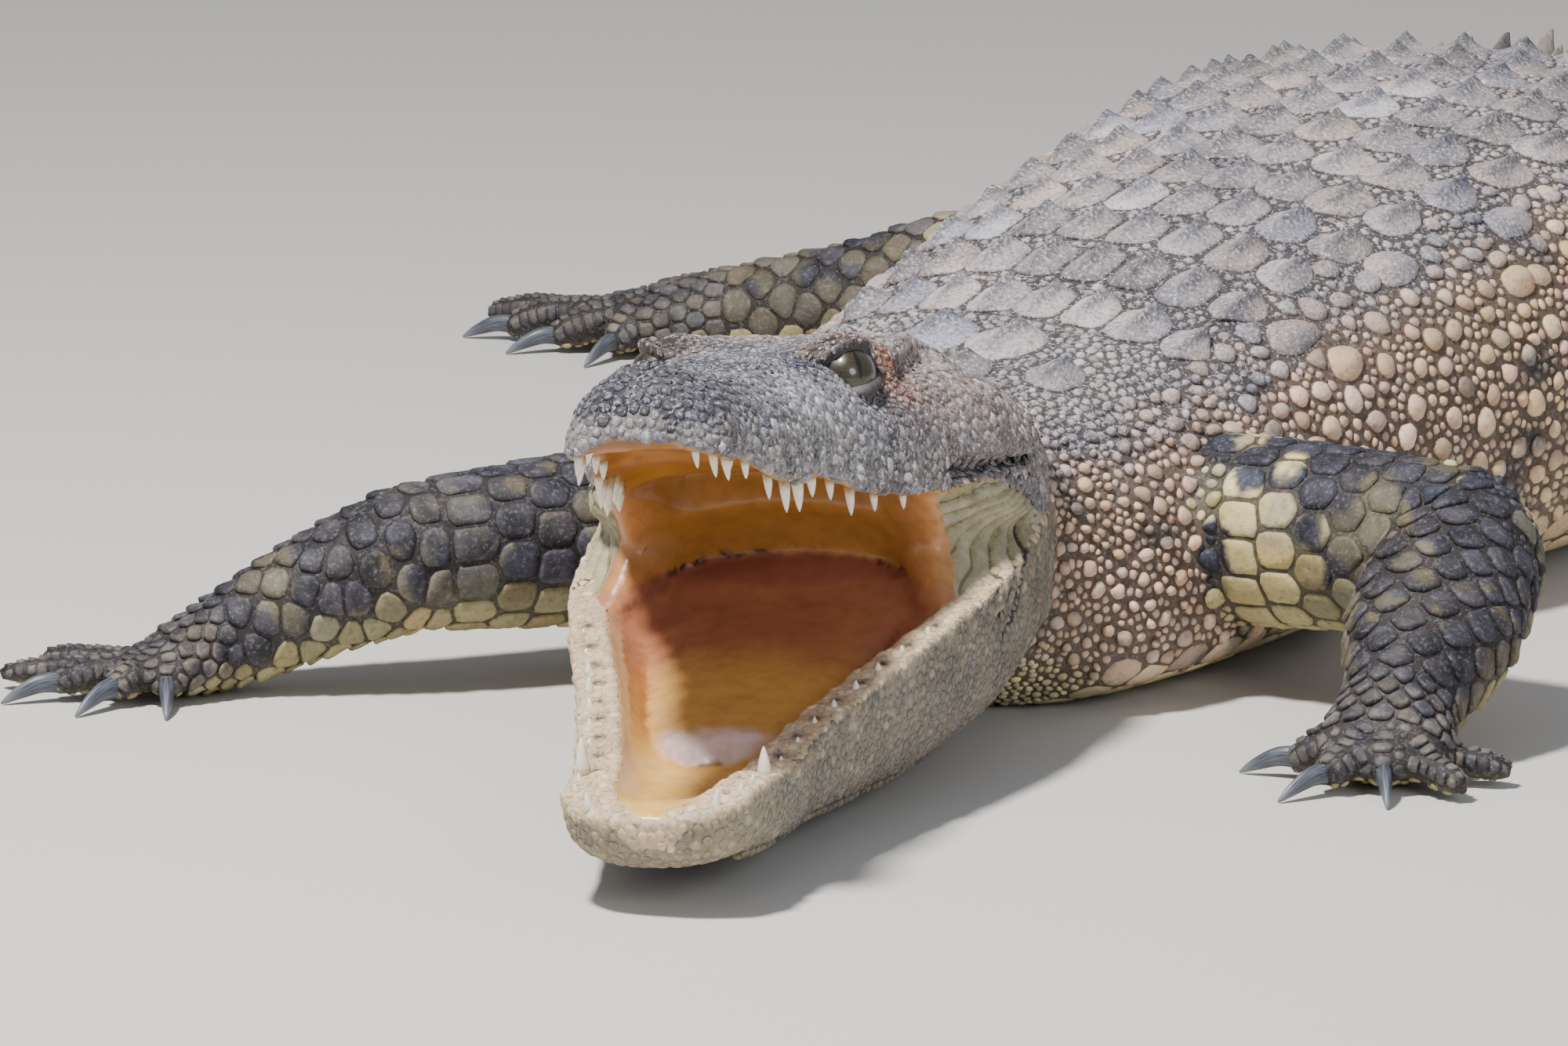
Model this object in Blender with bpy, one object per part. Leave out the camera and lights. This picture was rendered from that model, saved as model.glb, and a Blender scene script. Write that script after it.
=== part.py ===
"""Saltwater crocodile at life size, resting with its mouth open, as faceted solids.

The animal lies on the floor at z = 0 with its head toward -Y. Its trunk swings right and back behind the
head, its right hind leg is stretched out to the side, and its tail curls round to the right.
"""

import math

import bmesh
import bpy
import numpy as np
from mathutils import Vector

# Driving sizes, in metres and degrees.
GAP = 0.0003  # clearance between neighbouring pieces
ORIGIN = (0.7737, 1.3666)  # where the origin lies in the frame the animal was laid out in

JAW_JOINT = (0.113, 0.590, 0.165)
HEAD_YAW = 12.5  # the snout points this far to -X of straight ahead
HEAD_ROLL = 3.0  # the crown leans this far to -X
SKULL_LIFT = 17.0  # pitch of the upper jaw
JAW_DROP = 8.5  # pitch of the lower jaw
SKULL_LENGTH = 0.605  # jaw joint to snout tip
JAW_LENGTH = 0.615
THROAT_WALL = 0.105  # the back of the open mouth, ahead of the joint
EYE_AT = (0.245, 0.069, 0.084)  # ahead, to the left and above the joint
EYE_RADIUS = 0.024
JOWL = 0.07  # how far the side of the lower jaw swells past its rim, as a share
UPPER_TEETH = 13  # on each side
LOWER_TEETH = 12

# The line of the back, from the occiput to the tip of the tail.
SPINE = [
    (0.128, 0.625), (0.165, 0.72), (0.235, 0.83), (0.345, 1.01), (0.465, 1.20), (0.565, 1.38),
    (0.625, 1.56), (0.640, 1.74), (0.645, 1.92), (0.675, 2.13), (0.775, 2.36), (0.975, 2.55),
    (1.245, 2.66), (1.535, 2.68), (1.815, 2.60), (2.085, 2.45),
]
# Body sections: distance along the spine, half width, top, height of the widest place, underside.
BODY = [
    (0.00, 0.160, 0.264, 0.125, 0.030), (0.10, 0.212, 0.254, 0.085, -0.004), (0.24, 0.240, 0.274, 0.095, -0.010),
    (0.45, 0.262, 0.322, 0.125, -0.012), (0.68, 0.300, 0.352, 0.145, -0.014), (0.90, 0.316, 0.370, 0.155, -0.014),
    (1.10, 0.290, 0.364, 0.150, -0.012), (1.32, 0.220, 0.305, 0.140, -0.008), (1.50, 0.175, 0.264, 0.125, -0.006),
    (1.75, 0.140, 0.243, 0.110, -0.006), (2.05, 0.108, 0.217, 0.095, -0.005), (2.40, 0.078, 0.192, 0.082, -0.004),
    (2.75, 0.053, 0.166, 0.070, -0.003), (3.05, 0.034, 0.130, 0.056, -0.003), (3.34, 0.010, 0.040, 0.018, -0.001),
]
# Each length of the body: name, start and end along the spine, rings.
LENGTHS = [
    ("neck", 0.00, 0.22, 4), ("trunk_front", 0.22, 0.72, 6), ("trunk_rear", 0.72, 1.50, 9),
    ("tail_1", 1.50, 2.00, 6), ("tail_2", 2.00, 2.50, 6), ("tail_3", 2.50, 2.95, 5), ("tail_4", 2.95, 3.34, 5),
]
BODY_SIDES = 20

# Limbs: joints from the root inside the body, with the half thickness across and up at each.
LIMBS = {
    "fore_left": [
        ((0.350, 0.790, 0.120), 0.075, 0.080), ((0.470, 0.710, 0.128), 0.070, 0.075),
        ((0.603, 0.625, 0.132), 0.066, 0.066), ((0.575, 0.535, 0.092), 0.070, 0.058),
        ((0.545, 0.455, 0.046), 0.048, 0.044), ((0.528, 0.405, 0.026), 0.056, 0.026),
    ],
    "fore_right": [
        ((0.150, 0.890, 0.110), 0.075, 0.078), ((-0.070, 0.785, 0.108), 0.064, 0.070),
        ((-0.205, 0.735, 0.104), 0.056, 0.058), ((-0.275, 0.730, 0.076), 0.050, 0.050),
        ((-0.345, 0.722, 0.042), 0.040, 0.040), ((-0.395, 0.710, 0.025), 0.052, 0.025),
    ],
    "hind_right": [
        ((0.560, 1.800, 0.130), 0.085, 0.080), ((0.400, 1.900, 0.112), 0.075, 0.075),
        ((0.245, 1.970, 0.080), 0.058, 0.064), ((0.150, 1.995, 0.062), 0.048, 0.050),
        ((0.055, 2.025, 0.044), 0.042, 0.042), ((-0.030, 2.065, 0.030), 0.064, 0.030),
    ],
    "hind_left": [
        ((0.720, 1.790, 0.130), 0.085, 0.080), ((0.870, 1.750, 0.116), 0.075, 0.075),
        ((1.015, 1.755, 0.088), 0.058, 0.064), ((1.095, 1.805, 0.066), 0.048, 0.050),
        ((1.155, 1.880, 0.044), 0.042, 0.042), ((1.215, 1.945, 0.030), 0.062, 0.030),
    ],
}
# The digits of each foot, from the inner one outward: where the claw or tip ends. The inner three bear claws.
DIGITS = {
    "fore_left": [(0.424, 0.446), (0.450, 0.350), (0.530, 0.330), (0.592, 0.348), (0.632, 0.402)],
    "fore_right": [(-0.392, 0.618), (-0.462, 0.628), (-0.522, 0.672), (-0.530, 0.728), (-0.500, 0.786)],
    "hind_right": [(-0.095, 1.975), (-0.165, 2.035), (-0.205, 2.110), (-0.185, 2.175)],
    "hind_left": [(1.315, 1.935), (1.350, 2.005), (1.330, 2.080), (1.265, 2.120)],
}
LIMB_PARTS = {"fore": ("upper_arm", "forearm", "hand"), "hind": ("thigh", "shank", "foot")}
OVERRUN = 0.08  # how far a length of limb runs past a bend before it is mitred
CLAW_LENGTH = 0.042
CLAW_RADIUS = 0.0085

COLOURS = {
    "back": (0.36, 0.33, 0.34), "limb": (0.22, 0.22, 0.25), "jaw": (0.42, 0.38, 0.32), "mouth": (0.55, 0.33, 0.10),
    "tongue": (0.62, 0.38, 0.12), "eye": (0.06, 0.05, 0.02), "claw": (0.17, 0.19, 0.23),
}
ROUGHNESS = {"mouth": 0.35, "tongue": 0.35, "eye": 0.08, "claw": 0.4}


def clear_scene():
    for obj in list(bpy.data.objects):
        bpy.data.objects.remove(obj)


def new_collection(name):
    found = bpy.data.collections.new(name)
    bpy.context.scene.collection.children.link(found)
    return found


def new_material(name):
    made = bpy.data.materials.new(name)
    made.use_nodes = True
    shader = made.node_tree.nodes["Principled BSDF"]
    shader.inputs["Base Color"].default_value = (*COLOURS[name], 1.0)
    shader.inputs["Roughness"].default_value = ROUGHNESS.get(name, 0.7)
    return made


def eased(stations, at):
    """Values at a place between stations, each (place, value, ...), along monotone cubics that never overshoot."""
    table = np.array(stations, float)
    x, y = table[:, 0], table[:, 1:]
    step = np.diff(x)[:, None]
    slope = np.diff(y, axis=0) / step
    inner = np.where(slope[1:] * slope[:-1] > 0, 2 / (1 / (slope[1:] + 1e-12) + 1 / (slope[:-1] + 1e-12)), 0)
    tangent = np.vstack([slope[:1], inner, slope[-1:]])
    at = np.clip(at, x[0], x[-1])
    k = int(np.clip(np.searchsorted(x, at) - 1, 0, len(x) - 2))
    t = (at - x[k]) / (x[k + 1] - x[k])
    blend = ((1 + 2 * t) * (1 - t) ** 2, t * (1 - t) ** 2, t * t * (3 - 2 * t), t * t * (t - 1))
    width = x[k + 1] - x[k]
    return blend[0] * y[k] + blend[1] * width * tangent[k] + blend[2] * y[k + 1] + blend[3] * width * tangent[k + 1]


def curve_through(points, samples=40):
    """Points of a Catmull-Rom curve through the given ones, with the distance along it."""
    knots = [2 * np.array(points[0], float) - points[1]]
    knots += [np.array(p, float) for p in points]
    knots.append(2 * knots[-1] - knots[-2])
    line = []
    for a, b, c, d in zip(knots, knots[1:], knots[2:], knots[3:]):
        for i in range(samples):
            t = i / samples
            line.append(0.5 * (2 * b + (c - a) * t + (2 * a - 5 * b + 4 * c - d) * t**2
                               + (3 * b - a - 3 * c + d) * t**3))
    line = np.array(line + [knots[-2]])
    run = np.concatenate([[0], np.cumsum(np.linalg.norm(np.diff(line, axis=0), axis=1))])
    return line, run


def on_curve(line, run, s):
    """The place at distance s along a curve, and the direction there."""
    spot = np.array([np.interp(s, run, column) for column in line.T])
    ahead = np.array([np.interp(min(s + 0.01, run[-1]), run, column) for column in line.T])
    behind = np.array([np.interp(max(s - 0.01, 0), run, column) for column in line.T])
    along = ahead - behind
    return spot, along / np.linalg.norm(along)


def loft_mesh(rings):
    """A closed body through rings of equal length, with flat ends."""
    bm = bmesh.new()
    rows = [[bm.verts.new(Vector(p)) for p in ring] for ring in rings]
    count = len(rows[0])
    for near, far in zip(rows, rows[1:]):
        for i in range(count):
            bm.faces.new((near[i], near[(i + 1) % count], far[(i + 1) % count], far[i]))
    bm.faces.new(list(reversed(rows[0])))
    bm.faces.new(rows[-1])
    bmesh.ops.recalc_face_normals(bm, faces=bm.faces)
    bmesh.ops.triangulate(bm, faces=bm.faces)
    return bm


def loft(name, rings, collection, material):
    return finished(name, loft_mesh(rings), collection, material)


def finished(name, bm, collection, material):
    """An object in world space from a bmesh, shifted to the row's origin and shaded smooth."""
    bmesh.ops.triangulate(bm, faces=bm.faces)
    if bm.calc_volume(signed=True) < 0:
        bmesh.ops.reverse_faces(bm, faces=bm.faces)
    mesh = bpy.data.meshes.new(name)
    bm.to_mesh(mesh)
    bm.free()
    mesh.shade_smooth()
    mesh.set_sharp_from_angle(angle=math.radians(50))
    mesh.materials.append(material)
    obj = bpy.data.objects.new(name, mesh)
    obj.location = (-ORIGIN[0], -ORIGIN[1], 0)
    collection.objects.link(obj)
    return obj


def applied(obj, cutter, operation):
    """Joins a cutter to a piece, or takes it away, and keeps the result as the piece's mesh."""
    tool = obj.modifiers.new("tool", "BOOLEAN")
    tool.operation = operation
    tool.solver = "EXACT"
    tool.object = cutter
    tool.use_self = operation == "UNION"
    depsgraph = bpy.context.evaluated_depsgraph_get()
    mesh = bpy.data.meshes.new_from_object(obj.evaluated_get(depsgraph))
    obj.modifiers.clear()
    obj.data = mesh
    tidy(obj)


def grown(obj, cutters):
    """A copy of a piece, a hair larger, that cuts room for it in a neighbour."""
    copy = bpy.data.objects.new("room_for_" + obj.name, obj.data.copy())
    copy.location = obj.location
    cutters.objects.link(copy)
    for vertex, normal in zip(copy.data.vertices, obj.data.vertices):
        vertex.co += normal.normal * GAP * 1.5
    return copy


def tidy(obj):
    """Welds a cut's slivers and leaves triangles."""
    bm = bmesh.new()
    bm.from_mesh(obj.data)
    bmesh.ops.remove_doubles(bm, verts=bm.verts, dist=0.00005)
    bmesh.ops.dissolve_degenerate(bm, edges=bm.edges, dist=0.00005)
    bmesh.ops.triangulate(bm, faces=bm.faces)
    bm.to_mesh(obj.data)
    bm.free()


def clipped(bm, spot, normal):
    """Cuts away what lies past a plane, on the side its normal points to, and fills the cut flat."""
    every = bm.verts[:] + bm.edges[:] + bm.faces[:]
    cut = bmesh.ops.bisect_plane(
        bm, geom=every, plane_co=Vector(spot), plane_no=Vector(normal), dist=1e-6, clear_outer=True
    )
    edges = [e for e in cut["geom_cut"] if isinstance(e, bmesh.types.BMEdge)]
    bmesh.ops.holes_fill(bm, edges=[e for e in edges if e.is_boundary])
    bmesh.ops.triangulate(bm, faces=bm.faces)


def head_place(ahead, left, up, pitch):
    """The world place of a point given from the jaw joint along a jaw pitched by so many degrees."""
    lift = math.radians(pitch)
    yaw = math.radians(HEAD_YAW)
    level = ahead * math.cos(lift) - up * math.sin(lift)
    height = ahead * math.sin(lift) + up * math.cos(lift)
    forward = Vector((-math.sin(yaw), -math.cos(yaw), 0))
    leftward = Vector((math.cos(yaw), -math.sin(yaw), 0))
    roll = math.radians(HEAD_ROLL)
    aside = left * math.cos(roll) - height * math.sin(roll)
    rise = height * math.cos(roll) + left * math.sin(roll)
    return Vector(JAW_JOINT) + forward * level + leftward * aside + Vector((0, 0, rise))


def bump(distance, width):
    return math.exp(-((distance / width) ** 2))


def skull_ring(ahead, sides=18, under=6):
    """One section of the upper jaw and skull, across the head."""
    t = ahead / SKULL_LENGTH
    half, roof, lip = eased(
        [(-0.20, 0.150, 0.124, 0.0), (0.0, 0.172, 0.126, 0.0), (0.18, 0.158, 0.128, 0.004),
         (0.33, 0.128, 0.118, 0.000), (0.46, 0.100, 0.100, -0.008), (0.60, 0.082, 0.085, -0.004),
         (0.74, 0.074, 0.070, -0.014), (0.85, 0.056, 0.058, -0.002), (0.93, 0.061, 0.052, -0.008),
         (0.985, 0.044, 0.042, -0.004), (1.0, 0.022, 0.026, 0.002)], t)
    arch = 0.020 * eased([(0.12, 0), (0.30, 1), (0.85, 0.6), (1.0, 0)], t)[0]
    ring = []
    for i in range(sides + 1):
        turn = math.radians(-90 + 180 * i / sides)
        across = half * math.copysign(abs(math.sin(turn)) ** 0.75, turn)
        up = lip + (roof - lip) * math.cos(turn) ** 0.62
        brow = bump(ahead - EYE_AT[0] + 0.01, 0.045) * bump(abs(across) - 0.070, 0.022)
        temple = bump(ahead - 0.10, 0.09) * bump(abs(across) - 0.085, 0.03)
        nostril = bump(ahead - 0.560, 0.022) * bump(across, 0.030)
        up += (0.016 * brow + 0.008 * temple + 0.012 * nostril) * math.cos(turn) ** 0.3
        ring.append((across, up))
    for i in range(1, under):
        x = 1 - 2 * i / under
        ring.append((half * x * 0.97, lip + arch * (1 - abs(x) ** 4)))
    return ring


def jaw_ring(ahead, sides=16, floor=8):
    """One section of the lower jaw: rim, outside, underside and the floor of the mouth."""
    t = ahead / JAW_LENGTH
    half, depth = eased(
        [(-0.20, 0.155, 0.120), (0.0, 0.176, 0.136), (0.18, 0.172, 0.140), (0.36, 0.150, 0.130), (0.55, 0.118, 0.108),
         (0.72, 0.094, 0.082), (0.86, 0.078, 0.066), (0.94, 0.072, 0.056), (0.985, 0.052, 0.042), (1.0, 0.026, 0.024)],
        t)
    dip = 0.040 * eased([(0.17, 0), (0.34, 0.9), (0.6, 1), (0.88, 0.55), (0.96, 0.0)], t)[0]
    rim = 0.024 + 0.014 * t
    wave = 0.006 * bump(t - 0.93, 0.05) - 0.004 * bump(t - 0.80, 0.06)
    ring = []
    for i in range(sides + 1):
        turn = math.radians(-90 + 180 * i / sides)
        across = half * math.copysign(abs(math.sin(turn)) ** 0.8, turn)
        across *= 1 + JOWL * math.sin(2 * abs(turn)) ** 2
        ring.append((across, wave - depth * math.cos(turn) ** 0.7))
    inner = max(half - rim, half * 0.3)
    for i in range(floor + 1):
        x = 1 - 2 * i / floor
        ring.append((inner * x, wave - dip * (1 - abs(x) ** 6)))
    return ring


def jaw_solid(name, ring_at, rows, pitch, keep_above, collection, material):
    """A jaw lofted along its length, cut at the occiput and along the plane that halves the gape."""
    bm = bmesh.new()
    grid = [[bm.verts.new(head_place(a, across, up, pitch)) for across, up in ring_at(a)] for a in rows]
    count = len(grid[0])
    for near, far in zip(grid, grid[1:]):
        for i in range(count):
            bm.faces.new((near[i], near[(i + 1) % count], far[(i + 1) % count], far[i]))
    bm.faces.new(list(reversed(grid[0])))
    bm.faces.new(grid[-1])
    bmesh.ops.recalc_face_normals(bm, faces=bm.faces)
    bmesh.ops.triangulate(bm, faces=bm.faces)
    spot, along = on_curve(*SPINE_CURVE, 0)
    along = Vector((*along, 0))
    clipped(bm, Vector((*spot, JAW_JOINT[2])) - along * GAP / 2, along)
    middle = (SKULL_LIFT - JAW_DROP) / 2
    across = head_place(0, 0, 1, middle) - head_place(0, 0, 0, middle)
    side = -1 if keep_above else 1
    clipped(bm, Vector(JAW_JOINT) - across * (side * GAP / 2), across * side)
    return finished(name, bm, collection, material)


def cone(bm, base, tip, radius, sides=5):
    """A closed cone from base to tip."""
    base, tip = Vector(base), Vector(tip)
    along = (tip - base).normalized()
    aside = along.orthogonal().normalized()
    other = along.cross(aside)
    top = bm.verts.new(tip)
    turns = [2 * math.pi * i / sides for i in range(sides)]
    ring = [bm.verts.new(base + radius * (aside * math.cos(a) + other * math.sin(a))) for a in turns]
    for i in range(sides):
        bm.faces.new((ring[i], ring[(i + 1) % sides], top))
    bm.faces.new(list(reversed(ring)))


def tooth_spot(ring_at, length, t, side, inset):
    """The lip or rim of a jaw at one place: how far ahead, left and up."""
    ring = ring_at(length * t)
    half = max(p[0] for p in ring)
    edge = ring[0][1]
    return length * t, side * (half - inset), edge


def teeth(name, ring_at, length, pitch, count, down, collection, material):
    """Both rows of one jaw's teeth, as cones sunk into the bone."""
    bm = bmesh.new()
    for side in (-1, 1):
        for i in range(count):
            t = 0.955 - 0.63 * (i / (count - 1)) ** 1.05
            large = i in ((3, 8, 9) if down else (0, 3, 9))
            size = 0.019 if large else 0.012
            inset = 0.006 if down else 0.012
            ahead, left, up = tooth_spot(ring_at, length, t, side, inset)
            sign = -1 if down else 1
            base = head_place(ahead, left * 0.97, up - sign * 0.008, pitch)
            tip = head_place(ahead + 0.003, left, up + sign * size, pitch)
            cone(bm, base, tip, 0.0062 if large else 0.0042)
    bmesh.ops.recalc_face_normals(bm, faces=bm.faces)
    return finished(name, bm, collection, material)


def ball(name, centre, radius, collection, material, segments=12, rings=8):
    bm = bmesh.new()
    bmesh.ops.create_uvsphere(bm, u_segments=segments, v_segments=rings, radius=radius)
    bmesh.ops.translate(bm, verts=bm.verts, vec=Vector(centre))
    return finished(name, bm, collection, material)


def throat_rings(steps=5):
    """The back of the mouth and the cheek webs, as horizontal slices fanned between the two jaws."""
    rings = []
    lean = 0.9
    for i in range(steps + 1):
        pitch = -JAW_DROP + lean + (SKULL_LIFT + JAW_DROP - 2 * lean) * i / steps
        hollow = math.sin(math.pi * i / steps)
        front = 0.175 - 0.055 * hollow
        outside = 0.168 - 0.012 * hollow
        rim = outside - 0.022
        nose = outside - 0.014
        back = 0.020
        slice_points = [(back, -outside), (THROAT_WALL, -outside + 0.003), (front, -nose), (front, -nose + 0.010),
                        (THROAT_WALL + 0.02, -rim), (THROAT_WALL, -rim * 0.6), (THROAT_WALL - 0.012, 0)]
        mirrored = [(ahead, -left) for ahead, left in reversed(slice_points[:-1])]
        rings.append([head_place(ahead, left, 0, pitch) for ahead, left in slice_points + mirrored])
    return rings


def tongue_rings(rows=7, sides=8):
    """A low pad on the floor of the lower jaw."""
    rings = []
    for i in range(rows + 1):
        ahead = 0.125 + 0.385 * i / rows
        ring = jaw_ring(ahead)
        half = max(p[0] for p in ring)
        bed = min(p[1] for p in ring[17:]) - 0.004
        end = 0.35 + 0.65 * math.sin(math.pi * min(max(i / rows, 0.06), 0.94)) ** 0.5
        width = (half - 0.046) * end
        thick = 0.020 * end
        points = []
        for k in range(sides + 1):
            turn = math.pi * k / sides
            points.append((width * math.cos(turn), bed + thick * math.sin(turn) ** 0.6))
        rings.append([head_place(ahead, across, up, -JAW_DROP) for across, up in points])
    return rings


def body_ring(s, shift=0.0):
    """One section of the neck, trunk or tail, square to the spine, flattened where it meets the floor."""
    half, top, widest, under = eased(BODY, s)
    line, run = SPINE_CURVE
    spot, along = on_curve(line, run, s)
    spot = spot + along * shift
    aside = np.array((along[1], -along[0]))
    crown = eased([(0, 0.95), (0.35, 0.95), (0.70, 0.80), (1.50, 0.85), (2.20, 1.15), (3.34, 1.15)], s)[0]
    ring = []
    for i in range(BODY_SIDES):
        turn = 2 * math.pi * i / BODY_SIDES
        across = math.copysign(abs(math.cos(turn)) ** 0.80, math.cos(turn)) * half
        rise = top - widest if math.sin(turn) > 0 else widest - under
        power = crown if math.sin(turn) > 0 else 0.62
        up = widest + math.copysign(abs(math.sin(turn)) ** power, math.sin(turn)) * rise
        ring.append((spot[0] + aside[0] * across, spot[1] + aside[1] * across, max(up, 0.0)))
    return ring


def body_length(name, start, end, rows, collection, material):
    rings = []
    for i in range(rows + 1):
        s = start + (end - start) * i / rows
        rings.append(body_ring(s, GAP / 2 if i == 0 else -GAP / 2 if i == rows else 0))
    return loft(name, rings, collection, material)


def limb_ring(spot, along, wide, thick, sides=10):
    """One section of a limb, square to it, with its wide axis level."""
    flat = Vector((along[1], -along[0], 0)).normalized()
    rise = flat.cross(Vector(along)).normalized()
    if rise.z < 0:
        rise = -rise
    ring = []
    for i in range(sides):
        turn = 2 * math.pi * i / sides
        place = Vector(spot) + flat * (wide * math.cos(turn)) + rise * (thick * math.sin(turn))
        place.z = max(place.z, 0.0)
        ring.append(place)
    return ring


def mitre(limb, k):
    """The plane that parts a limb at one of its joints, halving the bend there."""
    before, joint, after = (Vector(LIMBS[limb][i][0]) for i in (k - 1, k, k + 1))
    return joint, ((joint - before).normalized() + (after - joint).normalized()).normalized()


def limb_length(limb, start, end, rows, name, collection, material):
    """One length of a limb between two of its joints, run past each bend and mitred there."""
    joints = [(np.array(place), wide, thick) for place, wide, thick in LIMBS[limb][start:end + 1]]
    bent_start, bent_end = start > 0, end < len(LIMBS[limb]) - 1
    if bent_start:
        way = joints[0][0] - joints[1][0]
        joints.insert(0, (joints[0][0] + way / np.linalg.norm(way) * OVERRUN, *joints[0][1:]))
    if bent_end:
        way = joints[-1][0] - joints[-2][0]
        joints.append((joints[-1][0] + way / np.linalg.norm(way) * OVERRUN, *joints[-1][1:]))
    line, run = curve_through([j[0] for j in joints])
    marks = [run[40 * k] for k in range(len(joints))]
    sizes = [(m, j[1], j[2]) for m, j in zip(marks, joints)]
    rings = []
    for i in range(rows + 1):
        s = run[-1] * i / rows
        wide, thick = eased(sizes, s)
        rings.append(limb_ring(*on_curve(line, run, s), wide, thick))
    bm = loft_mesh(rings)
    if bent_start:
        joint, across = mitre(limb, start)
        clipped(bm, joint + across * GAP / 2, -across)
    if bent_end:
        joint, across = mitre(limb, end)
        clipped(bm, joint - across * GAP / 2, across)
    return finished(name, bm, collection, material)


def digit(limb, tip, clawed, collection, cutters, materials, foot, number):
    """A toe joined to its foot, and its claw."""
    palm, wide, _ = LIMBS[limb][-1]
    ankle = Vector(LIMBS[limb][-2][0])
    palm = Vector(palm)
    end = Vector((tip[0], tip[1], 0.010))
    level = Vector((end.x - palm.x, end.y - palm.y, 0))
    way = level.normalized()
    start = palm.lerp(ankle, 0.25)
    start.z = palm.z * 0.9
    reach = end - way * (CLAW_LENGTH if clawed else 0.0)
    girth = wide * (0.34 if clawed else 0.28)
    knuckle = start.lerp(reach, 0.62)
    knuckle.z = girth * 1.35
    reach.z = 0.0125
    line, run = curve_through([start, knuckle, reach])
    rings = []
    for i in range(6):
        spot, along = on_curve(line, run, run[-1] * i / 5)
        size = girth * (1 - 0.42 * (i / 5) ** 2) * (0.75 if i == 5 else 1)
        if i == 5:
            spot = spot - along * GAP
        rings.append(limb_ring(spot, along, size, size * 0.92, sides=6))
    toe = loft(foot.name + f"_toe_{number}", rings, cutters, materials["limb"])
    applied(foot, toe, "UNION")
    if not clawed:
        return
    base, heel = on_curve(line, run, run[-1])
    base = Vector(base)
    hook = [base, base + way * CLAW_LENGTH * 0.5 + Vector((0, 0, 0.003)), end.xy.to_3d() + Vector((0, 0, 0.0015))]
    line, run = curve_through(hook)
    rings = []
    for i in range(5):
        spot, along = on_curve(line, run, run[-1] * i / 4)
        along = heel if i == 0 else along
        size = CLAW_RADIUS * (1 - i / 4) ** 0.8 + 0.0012
        rings.append(limb_ring(spot + along * (GAP if i == 0 else 0), along, size, size, sides=6))
    loft(f"claw_{limb}_{number}", rings, collection, materials["claw"])


def build_head(parts, cutters, materials):
    rows = [SKULL_LENGTH * t for t in
            (-0.20, -0.06, 0.05, 0.14, 0.22, 0.29, 0.34, 0.385, 0.43, 0.48, 0.55, 0.63, 0.71, 0.79, 0.85, 0.89,
             0.925, 0.955, 0.985, 1.0)]
    skull = jaw_solid("head", skull_ring, rows, SKULL_LIFT, True, parts, materials["back"])
    rows = [JAW_LENGTH * t for t in
            (-0.20, -0.06, 0.05, 0.14, 0.20, 0.28, 0.38, 0.48, 0.58, 0.68, 0.77, 0.85, 0.91, 0.955, 0.985, 1.0)]
    jaw = jaw_solid("lower_jaw", jaw_ring, rows, -JAW_DROP, False, parts, materials["jaw"])
    applied(skull, teeth("upper_teeth", skull_ring, SKULL_LENGTH, SKULL_LIFT, UPPER_TEETH, True, cutters,
                         materials["back"]), "UNION")
    applied(jaw, teeth("lower_teeth", jaw_ring, JAW_LENGTH, -JAW_DROP, LOWER_TEETH, False, cutters,
                       materials["jaw"]), "UNION")
    for side, name in ((1, "eye_left"), (-1, "eye_right")):
        centre = head_place(EYE_AT[0], side * EYE_AT[1], EYE_AT[2], SKULL_LIFT)
        ball(name, centre, EYE_RADIUS, parts, materials["eye"])
        socket = ball("socket_" + name, centre, EYE_RADIUS + GAP * 2, cutters, materials["back"])
        applied(skull, socket, "DIFFERENCE")
    loft("throat", throat_rings(), parts, materials["mouth"])
    tongue = loft("tongue", tongue_rings(), parts, materials["tongue"])
    applied(tongue, grown(jaw, cutters), "DIFFERENCE")


def build_body(parts, materials):
    return {name: body_length(name, start, end, rows, parts, materials["back"])
            for name, start, end, rows in LENGTHS}


def build_limbs(body, parts, cutters, materials):
    flanks = {"fore": ("neck", "trunk_front"), "hind": ("trunk_rear", "tail_1")}
    rooms = {name: grown(body[name], cutters) for pair in flanks.values() for name in pair}
    for limb in LIMBS:
        pair = limb[:4]
        upper, lower, foot = (f"{part}_{limb[5:]}" for part in LIMB_PARTS[pair])
        root = limb_length(limb, 0, 2, 6, upper, parts, materials["limb"])
        for name in flanks[pair]:
            applied(root, rooms[name], "DIFFERENCE")
        limb_length(limb, 2, 4, 7, lower, parts, materials["limb"])
        end = limb_length(limb, 4, 5, 4, foot, parts, materials["limb"])
        for number, tip in enumerate(DIGITS[limb], 1):
            digit(limb, tip, number <= 3, parts, cutters, materials, end, number)


SPINE_CURVE = curve_through(SPINE)
clear_scene()
crocodile = new_collection("saltwater_crocodile")
tools = new_collection("cutters")
palette = {name: new_material(name) for name in COLOURS}
build_head(crocodile, tools, palette)
lengths = build_body(crocodile, palette)
build_limbs(lengths, crocodile, tools, palette)
for guide in tools.objects:
    guide.hide_render = True
    guide.display_type = "WIRE"
print("triangles", {o.name: len(o.data.polygons) for o in crocodile.objects})
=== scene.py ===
"""Looks of a life-size saltwater crocodile at rest with its mouth open: skin, scales, teeth, eyes, claws."""

import itertools
import math

import bmesh
import bpy
import numpy as np
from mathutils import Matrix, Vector
from mathutils.bvhtree import BVHTree
from mathutils.kdtree import KDTree


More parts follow.
